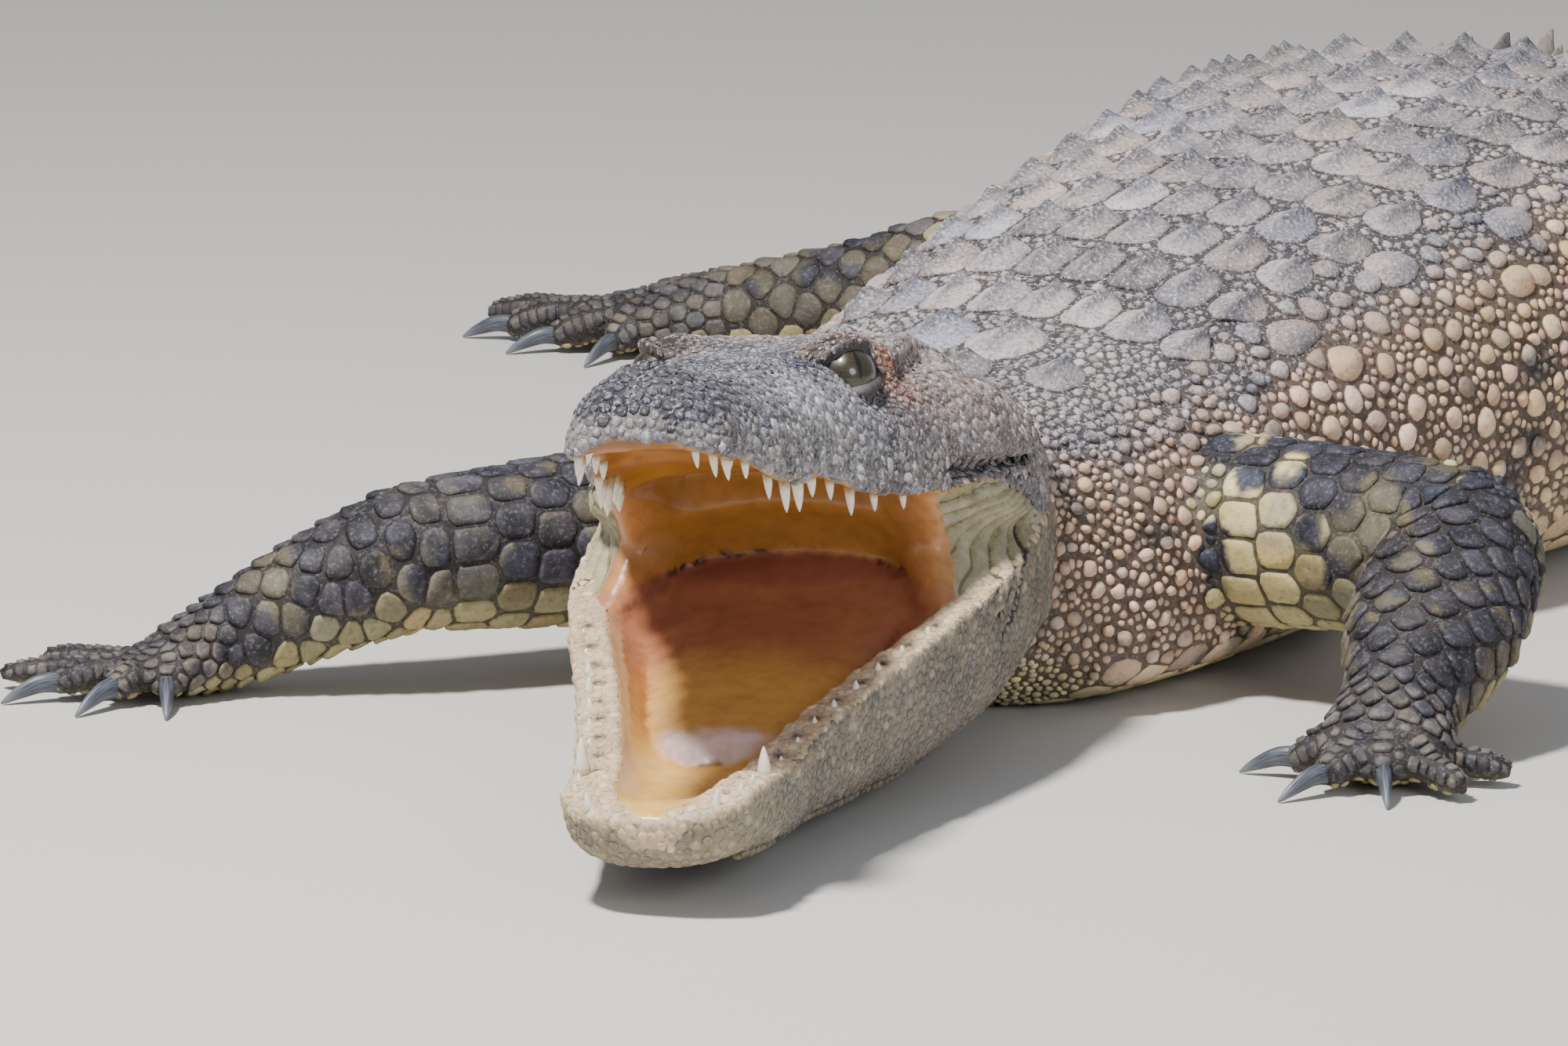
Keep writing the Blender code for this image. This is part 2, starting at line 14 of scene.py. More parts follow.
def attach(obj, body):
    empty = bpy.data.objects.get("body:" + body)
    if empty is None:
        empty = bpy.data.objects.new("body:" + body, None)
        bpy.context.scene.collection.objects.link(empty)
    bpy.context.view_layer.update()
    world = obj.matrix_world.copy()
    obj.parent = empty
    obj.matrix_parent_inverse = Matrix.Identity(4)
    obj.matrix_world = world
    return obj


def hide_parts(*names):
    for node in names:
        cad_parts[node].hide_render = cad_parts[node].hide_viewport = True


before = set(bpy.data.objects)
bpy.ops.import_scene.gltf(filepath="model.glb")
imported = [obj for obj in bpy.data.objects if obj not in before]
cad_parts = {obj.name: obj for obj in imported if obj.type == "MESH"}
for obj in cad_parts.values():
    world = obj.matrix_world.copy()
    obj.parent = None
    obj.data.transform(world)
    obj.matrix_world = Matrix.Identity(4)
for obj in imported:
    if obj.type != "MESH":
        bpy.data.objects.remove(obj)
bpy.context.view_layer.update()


# --- The body's form -------------------------------------------------------------------------------------
# Neck, trunk and tail of the live animal are one muscled tube, broad and low at the belly and pressed flat
# from the sides along the tail. It is lofted along the line of the back, a coat's depth inside the solids.
LAYOUT = np.array([0.7737, 1.3666, 0.0])  # from the frame that the animal was laid out in to this one
# Points of the line of the back, on the floor of that first frame.
SPINE = [
    (0.128, 0.625), (0.165, 0.72), (0.235, 0.83), (0.345, 1.01), (0.465, 1.20), (0.565, 1.38),
    (0.625, 1.56), (0.640, 1.74), (0.645, 1.92), (0.675, 2.13), (0.775, 2.36), (0.975, 2.55),
    (1.245, 2.66), (1.535, 2.68), (1.815, 2.60), (2.085, 2.45),
]
# Distance along the back, half width, top, height of the widest place, underside.
BODY = [
    (0.00, 0.160, 0.264, 0.125, 0.030), (0.10, 0.212, 0.254, 0.085, -0.004),
    (0.24, 0.240, 0.274, 0.095, -0.010), (0.45, 0.262, 0.322, 0.125, -0.012),
    (0.68, 0.300, 0.352, 0.145, -0.014), (0.90, 0.316, 0.370, 0.155, -0.014),
    (1.10, 0.290, 0.364, 0.150, -0.012), (1.32, 0.220, 0.305, 0.140, -0.008),
    (1.50, 0.175, 0.264, 0.125, -0.006), (1.75, 0.140, 0.243, 0.110, -0.006),
    (2.05, 0.108, 0.217, 0.095, -0.005), (2.40, 0.078, 0.192, 0.082, -0.004),
    (2.75, 0.053, 0.166, 0.070, -0.003), (3.05, 0.034, 0.130, 0.056, -0.003),
    (3.34, 0.010, 0.040, 0.018, -0.001),
]
# How deep the coat is at the sides and along the top, where the tail carries its crest.
COAT = [(0.0, 0.003, 0.005), (0.25, 0.005, 0.010), (1.40, 0.006, 0.014), (1.75, 0.004, 0.030),
        (2.05, 0.004, 0.040), (2.75, 0.003, 0.040), (3.05, 0.002, 0.028), (3.34, 0.001, 0.006)]
# How round the back is, from one side to the other: a power of the sine of the turn.
CROWN = [(0, 0.95), (0.35, 0.95), (0.70, 0.80), (1.50, 0.85), (2.20, 1.15), (3.34, 1.15)]
BELLY_LIFT = 0.003  # the belly scales' own thickness, between the skin and the floor
TAIL_TIP = 3.335
CURVE_STEPS = 40  # points of a curve from one of the given points to the next


def eased(stations, at):
    """Values between stations, each (place, value, ...), along monotone cubics that never overshoot."""
    table = np.array(stations, float)
    x, y = table[:, 0], table[:, 1:]
    slope = np.diff(y, axis=0) / np.diff(x)[:, None]
    product = slope[1:] * slope[:-1]
    total = slope[1:] + slope[:-1]
    middle = np.where(product > 0, 2 * product / np.where(product > 0, total, 1), 0)
    tangent = np.vstack([slope[:1], middle, slope[-1:]])
    at = np.clip(np.asarray(at, float), x[0], x[-1])
    k = np.clip(np.searchsorted(x, at) - 1, 0, len(x) - 2)
    width = (x[k + 1] - x[k])[..., None]
    t = (at - x[k])[..., None] / width
    held = (1 + 2 * t) * (1 - t) ** 2 * y[k] + t * t * (3 - 2 * t) * y[k + 1]
    return held + width * (t * (1 - t) ** 2 * tangent[k] + t * t * (t - 1) * tangent[k + 1])


def curve_through(points):
    """Points of a Catmull-Rom curve through the given ones, with the distance along it."""
    knots = [2 * np.array(points[0], float) - points[1]] + [np.array(p, float) for p in points]
    knots.append(2 * knots[-1] - knots[-2])
    line = []
    for a, b, c, d in zip(knots, knots[1:], knots[2:], knots[3:]):
        for t in np.arange(CURVE_STEPS) / CURVE_STEPS:
            line.append(0.5 * (2 * b + (c - a) * t + (2 * a - 5 * b + 4 * c - d) * t**2
                               + (3 * b - a - 3 * c + d) * t**3))
    line = np.array(line + [knots[-2]])
    run = np.concatenate([[0], np.cumsum(np.linalg.norm(np.diff(line, axis=0), axis=1))])
    return line, run


def unit(rows):
    """Each row drawn out or in to a length of one."""
    return rows / np.linalg.norm(rows, axis=-1, keepdims=True)


def on_curve(curve, s):
    """Places at distances s along a curve, and the directions there."""
    line, run = curve
    place = lambda at: np.stack([np.interp(at, run, column) for column in line.T], -1)
    along = place(np.minimum(s + 0.01, run[-1])) - place(np.maximum(s - 0.01, 0))
    return place(s), unit(along)


def turns_round(count):
    """So many angles spread evenly round a circle."""
    return np.arange(count) * (2 * math.pi / count)


def signed_power(x, power):
    return np.sign(x) * np.abs(x) ** power


def bell(distance, width):
    return np.exp(-((distance / width) ** 2))


BACK_LINE = curve_through(SPINE)


def body_surface(s, turn):
    """Skin of neck, trunk and tail at distances s and turns, from the left side up over the back."""
    half, top, widest, under = np.moveaxis(eased(BODY, s), -1, 0)
    side, crest = np.moveaxis(eased(COAT, s), -1, 0)
    half = half - side
    top = top - crest * np.clip(np.sin(turn), 0, 1) ** 2 - side * 0.3
    spot, along = on_curve(BACK_LINE, s)
    across = signed_power(np.cos(turn), 0.80) * half
    over = np.sin(turn) > 0
    rise = np.where(over, top - widest, widest - under)
    power = np.where(over, eased(CROWN, s)[..., 0], 0.62)
    up = widest + np.sign(np.sin(turn)) * np.abs(np.sin(turn)) ** power * rise
    x = spot[..., 0] + along[..., 1] * across
    y = spot[..., 1] - along[..., 0] * across
    return np.stack([x, y, np.maximum(up, BELLY_LIFT)], -1) - LAYOUT


# The flesh is gathered as closed tubes that overlap, each face with its part and its place on that part.
PARTS = ["body", "skull", "palate", "jaw", "floor", "lining", "web", "tongue", "fore_left", "fore_right",
         "hind_right", "hind_left"]
BODY_PART, SKULL_PART, PALATE, JAW_PART, MOUTH_FLOOR, LINING, WEB, TONGUE_PART, FIRST_LIMB = range(9)
FIRST_HIND_LIMB = 10
flesh_points, flesh_faces, flesh_part, flesh_at = [], [], [], []


def add_tube(points, parts, u, v):
    """Adds a tube through rings of points, closed at both ends. parts, u and v say what each face is."""
    rows, columns = points.shape[:2]
    start = sum(len(p) for p in flesh_points)
    flesh_points.append(points.reshape(-1, 3))
    index = start + np.arange(rows * columns).reshape(rows, columns)
    near, far = index[:-1], index[1:]
    quads = np.stack([near, np.roll(near, -1, 1), np.roll(far, -1, 1), far], -1).reshape(-1, 4)
    flesh_faces.extend(quads.tolist())
    flesh_part.extend(np.broadcast_to(parts, (rows - 1, columns)).ravel())
    flesh_at.extend(np.stack(np.broadcast_arrays(u[:-1, None], v[None, :]), -1).reshape(-1, 2))
    for row, end in ((index[0][::-1], 0), (index[-1], -1)):
        flesh_faces.append(row.tolist())
        flesh_part.append(np.broadcast_to(parts, (rows - 1, columns))[end][0])
        flesh_at.append((u[end], v[0]))


BODY_COLUMNS = 64
body_rows = np.arange(-0.02, TAIL_TIP, 0.012)
body_turns = turns_round(BODY_COLUMNS)
body_grid = np.meshgrid(np.maximum(body_rows, 0), body_turns, indexing="ij")
add_tube(body_surface(*body_grid), BODY_PART, body_rows, body_turns)


# --- The head's form -------------------------------------------------------------------------------------
# The upper jaw is one with the skull: a long snout, swollen at the nostrils and over the largest teeth, and
# a flat table behind the eyes. The lower jaw swings on the joint below it, and the cheeks' webs of skin and
# the fleshy back of the mouth stretch between the two.
JAW_JOINT = np.array([0.113, 0.590, 0.165]) - LAYOUT
HEAD_YAW, HEAD_ROLL = math.radians(12.5), math.radians(3.0)
SKULL_PITCH, JAW_PITCH = 17.0, -8.5
SKULL_LENGTH, JAW_LENGTH = 0.605, 0.615
# Places on the head are given ahead, left and up of the jaw joint, along the skull or along the jaw.
EYE_AT, EYE_RADIUS = np.array([0.245, 0.069, 0.084]), 0.024
# Along the skull, as a share of its length: half width, roof, lip.
SKULL = [(-0.20, 0.150, 0.124, 0.0), (0.0, 0.172, 0.126, 0.002), (0.18, 0.158, 0.128, 0.020),
         (0.30, 0.133, 0.120, 0.002), (0.36, 0.122, 0.115, -0.004), (0.46, 0.100, 0.100, -0.008),
         (0.60, 0.082, 0.085, -0.004), (0.74, 0.074, 0.070, -0.014), (0.85, 0.056, 0.058, -0.002),
         (0.93, 0.061, 0.052, -0.008), (0.985, 0.044, 0.042, -0.004), (1.0, 0.022, 0.026, 0.002)]
# Along the lower jaw: half width, depth.
JAW = [(-0.20, 0.155, 0.120), (0.0, 0.176, 0.136), (0.18, 0.172, 0.140), (0.36, 0.150, 0.130),
       (0.55, 0.118, 0.108), (0.72, 0.094, 0.082), (0.86, 0.078, 0.066), (0.94, 0.072, 0.056),
       (0.985, 0.052, 0.042), (1.0, 0.026, 0.024)]
HEAD_COAT = 0.0015  # how deep the scales are on the head


def jaw_axes(pitch):
    """Directions ahead, left and up of a jaw pitched by so many degrees, as rows."""
    ahead = np.array([-math.sin(HEAD_YAW), -math.cos(HEAD_YAW), 0])
    left = np.array([math.cos(HEAD_YAW), -math.sin(HEAD_YAW), 0])
    up = np.array([0, 0, 1.0])
    lean = math.cos(HEAD_ROLL) * up - math.sin(HEAD_ROLL) * left
    lift = math.radians(pitch)
    return np.array([math.cos(lift) * ahead + math.sin(lift) * lean,
                     math.cos(HEAD_ROLL) * left + math.sin(HEAD_ROLL) * up,
                     math.cos(lift) * lean - math.sin(lift) * ahead])


SKULL_AXES, JAW_AXES, MID_AXES = (jaw_axes(p) for p in (SKULL_PITCH, JAW_PITCH, 0.0))


def skull_top(ahead, across):
    """Ridges and swellings on the head's upper side."""
    side = np.abs(across)
    brow = bell(ahead - EYE_AT[0] + 0.01, 0.045) * bell(side - 0.070, 0.022)
    temple = bell(ahead - 0.10, 0.09) * bell(side - 0.085, 0.03)
    nostril = bell(ahead - 0.560, 0.022) * bell(across, 0.030)
    ridge = bell(side - 0.030 - 0.12 * (ahead - 0.29), 0.008) * bell(ahead - 0.37, 0.07)
    between = bell(ahead - 0.25, 0.05) * bell(across, 0.028)
    return 0.016 * brow + 0.008 * temple + 0.012 * nostril + 0.004 * ridge - 0.006 * between


def skull_surface(ahead, turn):
    """Outside of the upper jaw and skull: ahead of the joint, and round it from the right lip to the left."""
    half, roof, lip = np.moveaxis(eased(SKULL, ahead / SKULL_LENGTH), -1, 0)
    half, roof = half - HEAD_COAT, roof - HEAD_COAT
    across = half * signed_power(np.sin(turn), 0.75)
    over = np.clip(np.cos(turn), 0, 1)
    up = lip + (roof - lip) * over ** 0.62 + skull_top(ahead, across) * over ** 0.3
    return np.stack([ahead + 0 * across, across, up], -1)


OUT_COLUMNS, PALATE_COLUMNS, FLOOR_COLUMNS = 40, 16, 24
# Where the rings of both jaws stand, as a share of the length, closer together round the tip.
ring_shares = np.concatenate([np.linspace(-0.20, 0.93, 100),
                              0.93 + 0.07 * np.sin(np.linspace(0.05, 1, 14) * math.pi / 2)])
skull_rows = SKULL_LENGTH * ring_shares
skull_turns = np.linspace(-math.pi / 2, math.pi / 2, OUT_COLUMNS)
outside = skull_surface(*np.meshgrid(skull_rows, skull_turns, indexing="ij"))
half, _, lip = np.moveaxis(eased(SKULL, skull_rows / SKULL_LENGTH), -1, 0)
arch = 0.020 * eased([(0.12, 0), (0.30, 1), (0.85, 0.6), (1.0, 0)], skull_rows / SKULL_LENGTH)[:, 0]
over = np.linspace(1, -1, PALATE_COLUMNS + 2)[1:-1]
palate = np.stack([np.broadcast_to(skull_rows[:, None], (len(skull_rows), PALATE_COLUMNS)),
                   (half[:, None] - 0.003) * over * 0.97,
                   lip[:, None] + arch[:, None] * (1 - np.abs(over) ** 4)], -1)
ring = np.concatenate([outside, palate], 1) @ SKULL_AXES + JAW_JOINT
parts = np.array([SKULL_PART] * (OUT_COLUMNS - 1) + [PALATE] * (PALATE_COLUMNS + 1))
add_tube(ring, parts, skull_rows, np.concatenate([skull_turns, over]))


def jaw_rim(t):
    """Width of the lower jaw's tooth-bearing rim."""
    return 0.024 + 0.014 * t


def jaw_wave(t):
    """How the rim of the lower jaw rises and falls along its length."""
    return 0.006 * bell(t - 0.93, 0.05) - 0.004 * bell(t - 0.80, 0.06)


def floor_dip(t):
    """How far the floor of the mouth lies below the rim."""
    return 0.040 * eased([(0.22, 0), (0.36, 0.9), (0.6, 1), (0.86, 0.6), (0.955, 0.0)], t)[..., 0]


jaw_rows = JAW_LENGTH * ring_shares
share = jaw_rows / JAW_LENGTH
half, depth = np.moveaxis(eased(JAW, share)[:, None, :], -1, 0)
half, depth = half - HEAD_COAT, depth - HEAD_COAT
wave = jaw_wave(share)[:, None]
across = half * signed_power(np.sin(skull_turns), 0.8) * (1 + 0.07 * np.sin(2 * np.abs(skull_turns)) ** 2)
up = wave - depth * np.clip(np.cos(skull_turns), 0, 1) ** 0.7
outside = np.stack([jaw_rows[:, None] + 0 * across, across, up], -1)
inner = np.maximum(half - jaw_rim(share)[:, None], half * 0.3)
over = np.linspace(1, -1, FLOOR_COLUMNS)
floor = np.stack([jaw_rows[:, None] + 0 * inner * over, inner * over,
                  wave - floor_dip(share)[:, None] * (1 - np.abs(over) ** 5)], -1)
ring = np.concatenate([outside, floor], 1) @ JAW_AXES + JAW_JOINT
parts = np.array([JAW_PART] * OUT_COLUMNS + [MOUTH_FLOOR] * (FLOOR_COLUMNS - 1) + [JAW_PART])
add_tube(ring, parts, jaw_rows, np.concatenate([skull_turns, over[:-1], [-math.pi / 2]]))

# The back of the mouth: a fan of level slices between the jaws. Its wall has the palate's flap above a deep
# fold and the tongue's own flap below it, and the cheeks' webs run forward at both sides.
LINING_COLUMNS, SIDE_COLUMNS, BACK_COLUMNS = 40, 9, 10
fan = np.linspace(JAW_PITCH - 4, SKULL_PITCH + 12, 50)
gape = np.clip((fan - JAW_PITCH) / (SKULL_PITCH - JAW_PITCH), 0, 1)
hollow = np.sin(math.pi * gape)
web_front = 0.190 - 0.040 * hollow
web_out = 0.170 - 0.006 * hollow
skull_half = eased(SKULL, 0.185 / SKULL_LENGTH)[0]
web_out_front = 0.138 + (skull_half - 0.143) * gape - 0.005 * hollow
over = np.linspace(1, -1, LINING_COLUMNS)


def fold_sag(over):
    """How far the fold hangs below its middle, as a share of the gape: lower toward its two ends."""
    return 0.17 * np.minimum(np.abs(over) / 0.60, 1) ** 2


wall = eased([(0.0, 0.142), (0.12, 0.126), (0.19, 0.112), (0.24, 0.082), (0.30, 0.104), (0.55, 0.112),
              (0.80, 0.122), (1.0, 0.140)], np.clip(gape[:, None] + fold_sag(over), 0, 1))[..., 0]
reach = np.clip((np.abs(over) - 0.50) / 0.42, 0, 1)
rise = reach * reach * (3 - 2 * reach)
lining_ahead = wall + (web_front[:, None] - wall) * rise
lining_ahead = lining_ahead - 0.012 * np.clip((np.abs(over) - 0.92) / 0.08, 0, 1) ** 2
back = np.linspace(-1, 1, BACK_COLUMNS)
# From the mouth's edge each web swells outward on its way back to the corner.
side = np.linspace(0.08, 0.92, SIDE_COLUMNS)
side_ahead = web_front[:, None] - 0.012 - 0.170 * side
side_out = (web_out_front[:, None] + (web_out - web_out_front)[:, None] * np.sin(side * math.pi / 2)
            + 0.004 * np.sin(side * math.pi))
slices = np.concatenate([
    np.stack([lining_ahead, web_out_front[:, None] * over], -1),
    np.stack([side_ahead, -side_out], -1),
    np.stack([0.10 * (1 - np.abs(back)) + 0.0 * web_out[:, None] - 0.02,
              web_out[:, None] * back * 0.98], -1),
    np.stack([side_ahead, side_out], -1)[:, ::-1]], 1)
ring = []
for pitch, row in zip(fan, slices):
    ring.append(np.column_stack([row, np.zeros(len(row))]) @ jaw_axes(pitch) + JAW_JOINT)
parts = np.array([LINING] * (LINING_COLUMNS - 1) + [WEB] * (1 + 2 * SIDE_COLUMNS + BACK_COLUMNS))
add_tube(np.array(ring), parts, fan, np.concatenate([over, -1 - side, back, 1 + side[::-1]]))

# The tongue is a broad pad, grown fast to the floor of the mouth all along, with a thick round front.
# Distance ahead of the joint, with the pad's half width and then with the level of its top.
TONGUE = [(0.08, 0.118), (0.16, 0.106), (0.28, 0.080), (0.36, 0.062), (0.405, 0.040), (0.418, 0.012)]
TONGUE_TOP = [(0.08, 0.000), (0.16, -0.008), (0.30, -0.016), (0.39, -0.020), (0.418, -0.034)]
TONGUE_COLUMNS = 32
tongue_rows = np.concatenate([np.linspace(0.08, 0.36, 30), np.linspace(0.366, 0.418, 14)])
width = eased(TONGUE, tongue_rows)[:, 0]
bed = jaw_wave(tongue_rows / JAW_LENGTH) - floor_dip(tongue_rows / JAW_LENGTH) - 0.008
level = eased(TONGUE_TOP, tongue_rows)[:, 0]
turns = np.linspace(0, 2 * math.pi, TONGUE_COLUMNS + 1)[:-1]
lobe = np.where(np.sin(turns) > 0, np.abs(np.sin(turns)) ** 0.5, 0)
ring = np.stack([tongue_rows[:, None] + 0 * turns, width[:, None] * signed_power(np.cos(turns), 0.8),
                 bed[:, None] + (level - bed)[:, None] * lobe - 0.01 * (np.sin(turns) < 0)], -1)
add_tube(ring @ JAW_AXES + JAW_JOINT, TONGUE_PART, tongue_rows, turns)


# --- The limbs' form -------------------------------------------------------------------------------------
# Short, strong limbs held out to the sides. Each foot is a fleshy pad, with five toes on the fore feet and
# four longer ones, webbed at the base, on the hind feet.

# Each joint's place from shoulder to palm, or from hip to sole, with the half width and half depth there.
LIMBS = {
    "fore_left": [
        ((0.350, 0.790, 0.120), 0.075, 0.080), ((0.470, 0.710, 0.128), 0.070, 0.075),
        ((0.603, 0.625, 0.132), 0.066, 0.066), ((0.575, 0.535, 0.092), 0.070, 0.058),
        ((0.545, 0.455, 0.046), 0.048, 0.044), ((0.528, 0.405, 0.026), 0.056, 0.026),
    ],
    "fore_right": [
        ((0.150, 0.890, 0.110), 0.075, 0.078), ((-0.070, 0.785, 0.108), 0.064, 0.070),
        ((-0.205, 0.735, 0.104), 0.056, 0.058), ((-0.275, 0.730, 0.076), 0.050, 0.050),
        ((-0.345, 0.722, 0.042), 0.040, 0.040), ((-0.395, 0.710, 0.025), 0.052, 0.025),
    ],
    "hind_right": [
        ((0.560, 1.800, 0.130), 0.085, 0.080), ((0.400, 1.900, 0.112), 0.075, 0.075),
        ((0.245, 1.970, 0.080), 0.058, 0.064), ((0.150, 1.995, 0.062), 0.048, 0.050),
        ((0.055, 2.025, 0.044), 0.042, 0.042), ((-0.030, 2.065, 0.030), 0.064, 0.030),
    ],
    "hind_left": [
        ((0.720, 1.790, 0.130), 0.085, 0.080), ((0.870, 1.750, 0.116), 0.075, 0.075),
        ((1.015, 1.755, 0.088), 0.058, 0.064), ((1.095, 1.805, 0.066), 0.048, 0.050),
        ((1.155, 1.880, 0.044), 0.042, 0.042), ((1.215, 1.945, 0.030), 0.062, 0.030),
    ],
}
CLAWED_DIGITS = 3
# Where each digit's claw or tip ends, from the inner one outward. The inner three bear claws.
DIGITS = {
    "fore_left": [(0.424, 0.446), (0.450, 0.350), (0.530, 0.330), (0.592, 0.348), (0.632, 0.402)],
    "fore_right": [(-0.392, 0.618), (-0.462, 0.628), (-0.522, 0.672), (-0.530, 0.728), (-0.500, 0.786)],
    "hind_right": [(-0.095, 1.975), (-0.165, 2.035), (-0.205, 2.110), (-0.185, 2.175)],
    "hind_left": [(1.315, 1.935), (1.350, 2.005), (1.330, 2.080), (1.265, 2.120)],
}
LIMB_COAT = 0.003  # how deep the scales are on the limbs
CLAW_LENGTH = 0.042
SOLE = 0.0015  # the skin of the soles, above the floor by its scales' thickness


def tube_rings(curve, sizes, rows, columns):
    """Rings square to a curve, wide and thick as sizes say at distances along it, wide axis level."""
    s = np.linspace(0, curve[1][-1], rows)
    spot, along = on_curve(curve, s)
    wide, thick = eased(sizes, s).T
    flat = unit(np.stack([along[:, 1], -along[:, 0], 0 * s], -1))
    rise = np.cross(flat, along)
    rise *= np.where(rise[:, 2:] < 0, -1, 1)
    turns = turns_round(columns)
    points = (spot[:, None] + flat[:, None] * (wide[:, None] * np.cos(turns))[..., None]
              + rise[:, None] * (thick[:, None] * np.sin(turns))[..., None])
    points[..., 2] = np.maximum(points[..., 2], SOLE)
    return points, s, turns


toe_lines = {}
for limb, joints in LIMBS.items():
    part = PARTS.index(limb)
    joints = [(np.array(spot) - LAYOUT, wide - LIMB_COAT, thick - LIMB_COAT) for spot, wide, thick in joints]
    # The upper length runs past the elbow or knee to a rounded end, and the lower one starts inside it.
    for first, last in ((0, 2), (2, 5)):
        run_of = [j[0] for j in joints[first:last + 1]]
        sizes = [j[1:] for j in joints[first:last + 1]]
        way = run_of[-1] - run_of[-2] if first == 0 else run_of[0] - run_of[1]
        way = way / np.linalg.norm(way)
        if first == 0:
            run_of += [run_of[-1] + way * 0.022, run_of[-1] + way * 0.045]
            sizes += [tuple(0.86 * x for x in sizes[-1]), tuple(0.40 * x for x in sizes[-1])]
        else:
            run_of = [run_of[0] + way * 0.040, run_of[0] + way * 0.020] + run_of
            sizes = [tuple(0.45 * x for x in sizes[0]), tuple(0.88 * x for x in sizes[0])] + sizes
            run_of.append(run_of[-1] + 0.55 * (run_of[-1] - run_of[-2]) * (1, 1, 0))
            sizes.append(tuple(0.5 * x for x in sizes[-1]))
        curve = curve_through(run_of)
        marks = [curve[1][CURVE_STEPS * k] for k in range(len(run_of))]
        points, s, turns = tube_rings(curve, [(m, *w) for m, w in zip(marks, sizes)], 48, 36)
        add_tube(points, part, s / s[-1] + (first > 0), turns)
    palm, wide, _ = joints[-1]
    ankle = joints[-2][0]
    for digit, (x, y) in enumerate(DIGITS[limb], 1):
        clawed = digit <= CLAWED_DIGITS
        end = np.array([x, y, 0.010]) - LAYOUT
        level = (end - palm) * (1, 1, 0)
        way = level / np.linalg.norm(level)
        start = palm + 0.25 * (ankle - palm)
        start[2] = palm[2] * 0.9
        tip = end - way * (CLAW_LENGTH if clawed else 0.004)
        girth = (wide + LIMB_COAT) * (0.34 if clawed else 0.28) - 0.0015
        knuckle = start + 0.62 * (tip - start)
        knuckle[2] = girth * 1.35
        tip[2] = 0.0125
        curve = curve_through([start, knuckle, tip])
        length = curve[1][-1]
        sizes = [(0, girth, girth * 0.92), (length * 0.60, girth * 0.82, girth * 0.80),
                 (length * 0.74, girth * 0.86, girth * 0.84), (length * 0.93, girth * 0.60, girth * 0.62),
                 (length, girth * 0.36, girth * 0.36)]
        points, s, turns = tube_rings(curve, sizes, 30, 18)
        add_tube(points, part, 2 + s / s[-1], turns)
        toe_lines[limb, digit] = (curve, way, girth, clawed)


# --- The skin --------------------------------------------------------------------------------------------
# One unbroken hide over the whole animal, the lining of its mouth included. The tubes are fused on a fine
# voxel grid, the joins are smoothed, and the skin is thinned where scales hide it and kept fine at the head.
VOXEL = 0.004
SKIN_FACES = 131000  # triangles left after thinning, before the head's finest places are divided


def new_object(name, points, faces):
    mesh = bpy.data.meshes.new(name)
    mesh.from_pydata(np.asarray(points).tolist(), [], faces)
    mesh.update()
    made = bpy.data.objects.new(name, mesh)
    bpy.context.scene.collection.objects.link(made)
    return made


def only(piece):
    """Selects one piece alone and makes it the active one."""
    bpy.ops.object.select_all(action="DESELECT")
    bpy.context.view_layer.objects.active = piece
    piece.select_set(True)


def apply_modifier(piece, kind, **settings):
    only(piece)
    modifier = piece.modifiers.new(kind.lower(), kind)
    for key, value in settings.items():
        setattr(modifier, key, value)
    bpy.ops.object.modifier_apply(modifier=modifier.name)


def points_of(piece):
    co = np.empty(len(piece.data.vertices) * 3, np.float32)
    piece.data.vertices.foreach_get("co", co)
    return co.reshape(-1, 3).astype(float)


def set_points(piece, points):
    piece.data.vertices.foreach_set("co", np.asarray(points, np.float32).ravel())
    piece.data.update()


def neighbour_sum(edges, values):
    """For each point, the sum of its neighbours' values."""
    total = np.zeros_like(values)
    for column in range(values.shape[1]):
        for a, b in ((0, 1), (1, 0)):
            total[:, column] += np.bincount(edges[:, a], values[edges[:, b], column], len(values))
    return total


def edges_of(piece):
    pairs = np.empty(len(piece.data.edges) * 2, np.int32)
    piece.data.edges.foreach_get("vertices", pairs)
    return pairs.reshape(-1, 2)


def relaxed(points, edges, share, times):
    """Points drawn toward their neighbours' middle, each by its share, so many times."""
    count = np.bincount(edges.ravel(), minlength=len(points))[:, None]
    for _ in range(times):
        points = points + share[:, None] * (neighbour_sum(edges, points) / np.maximum(count, 1) - points)
    return points


def jaw_place(points, axes):
    """Points given ahead, left and up of the jaw joint along one jaw."""
    return (points - JAW_JOINT) @ axes.T


def ramp(x, start, end):
    """0 before start, 1 past end, smooth between."""
    t = np.clip((x - start) / (end - start), 0, 1)
    return t * t * (3 - 2 * t)


flesh_points, flesh_at, flesh_part = np.concatenate(flesh_points), np.array(flesh_at), np.array(flesh_part)
skin = new_object("skin", flesh_points, flesh_faces)
apply_modifier(skin, "REMESH", mode="VOXEL", voxel_size=VOXEL)
points, edges = points_of(skin), edges_of(skin)
ahead = jaw_place(points, SKULL_AXES)[:, 0]
in_head = ramp(ahead, -0.06, 0.03)
low_toe = ramp(points[:, 2], 0.05, 0.03) * (1 - in_head)
points = relaxed(points, edges, 0.5 * (1 - in_head) * (1 - 0.85 * low_toe), 10)
points = relaxed(points, edges, 0.5 * np.maximum(in_head, low_toe), 3)
set_points(skin, points)
# The thinning leaves edges about five times longer where scales cover the body than on the head.
group = skin.vertex_groups.new(name="covered")
FINEST = 8
fineness = np.round(FINEST * np.maximum(in_head, 0.45 * low_toe))
for level in range(FINEST + 1):
    group.add(np.nonzero(fineness == level)[0].tolist(), 0.99 - 0.042 * level / FINEST, "REPLACE")
apply_modifier(skin, "TRIANGULATE")
apply_modifier(skin, "DECIMATE", ratio=SKIN_FACES / len(skin.data.polygons), vertex_group="covered",
               vertex_group_factor=1.0)

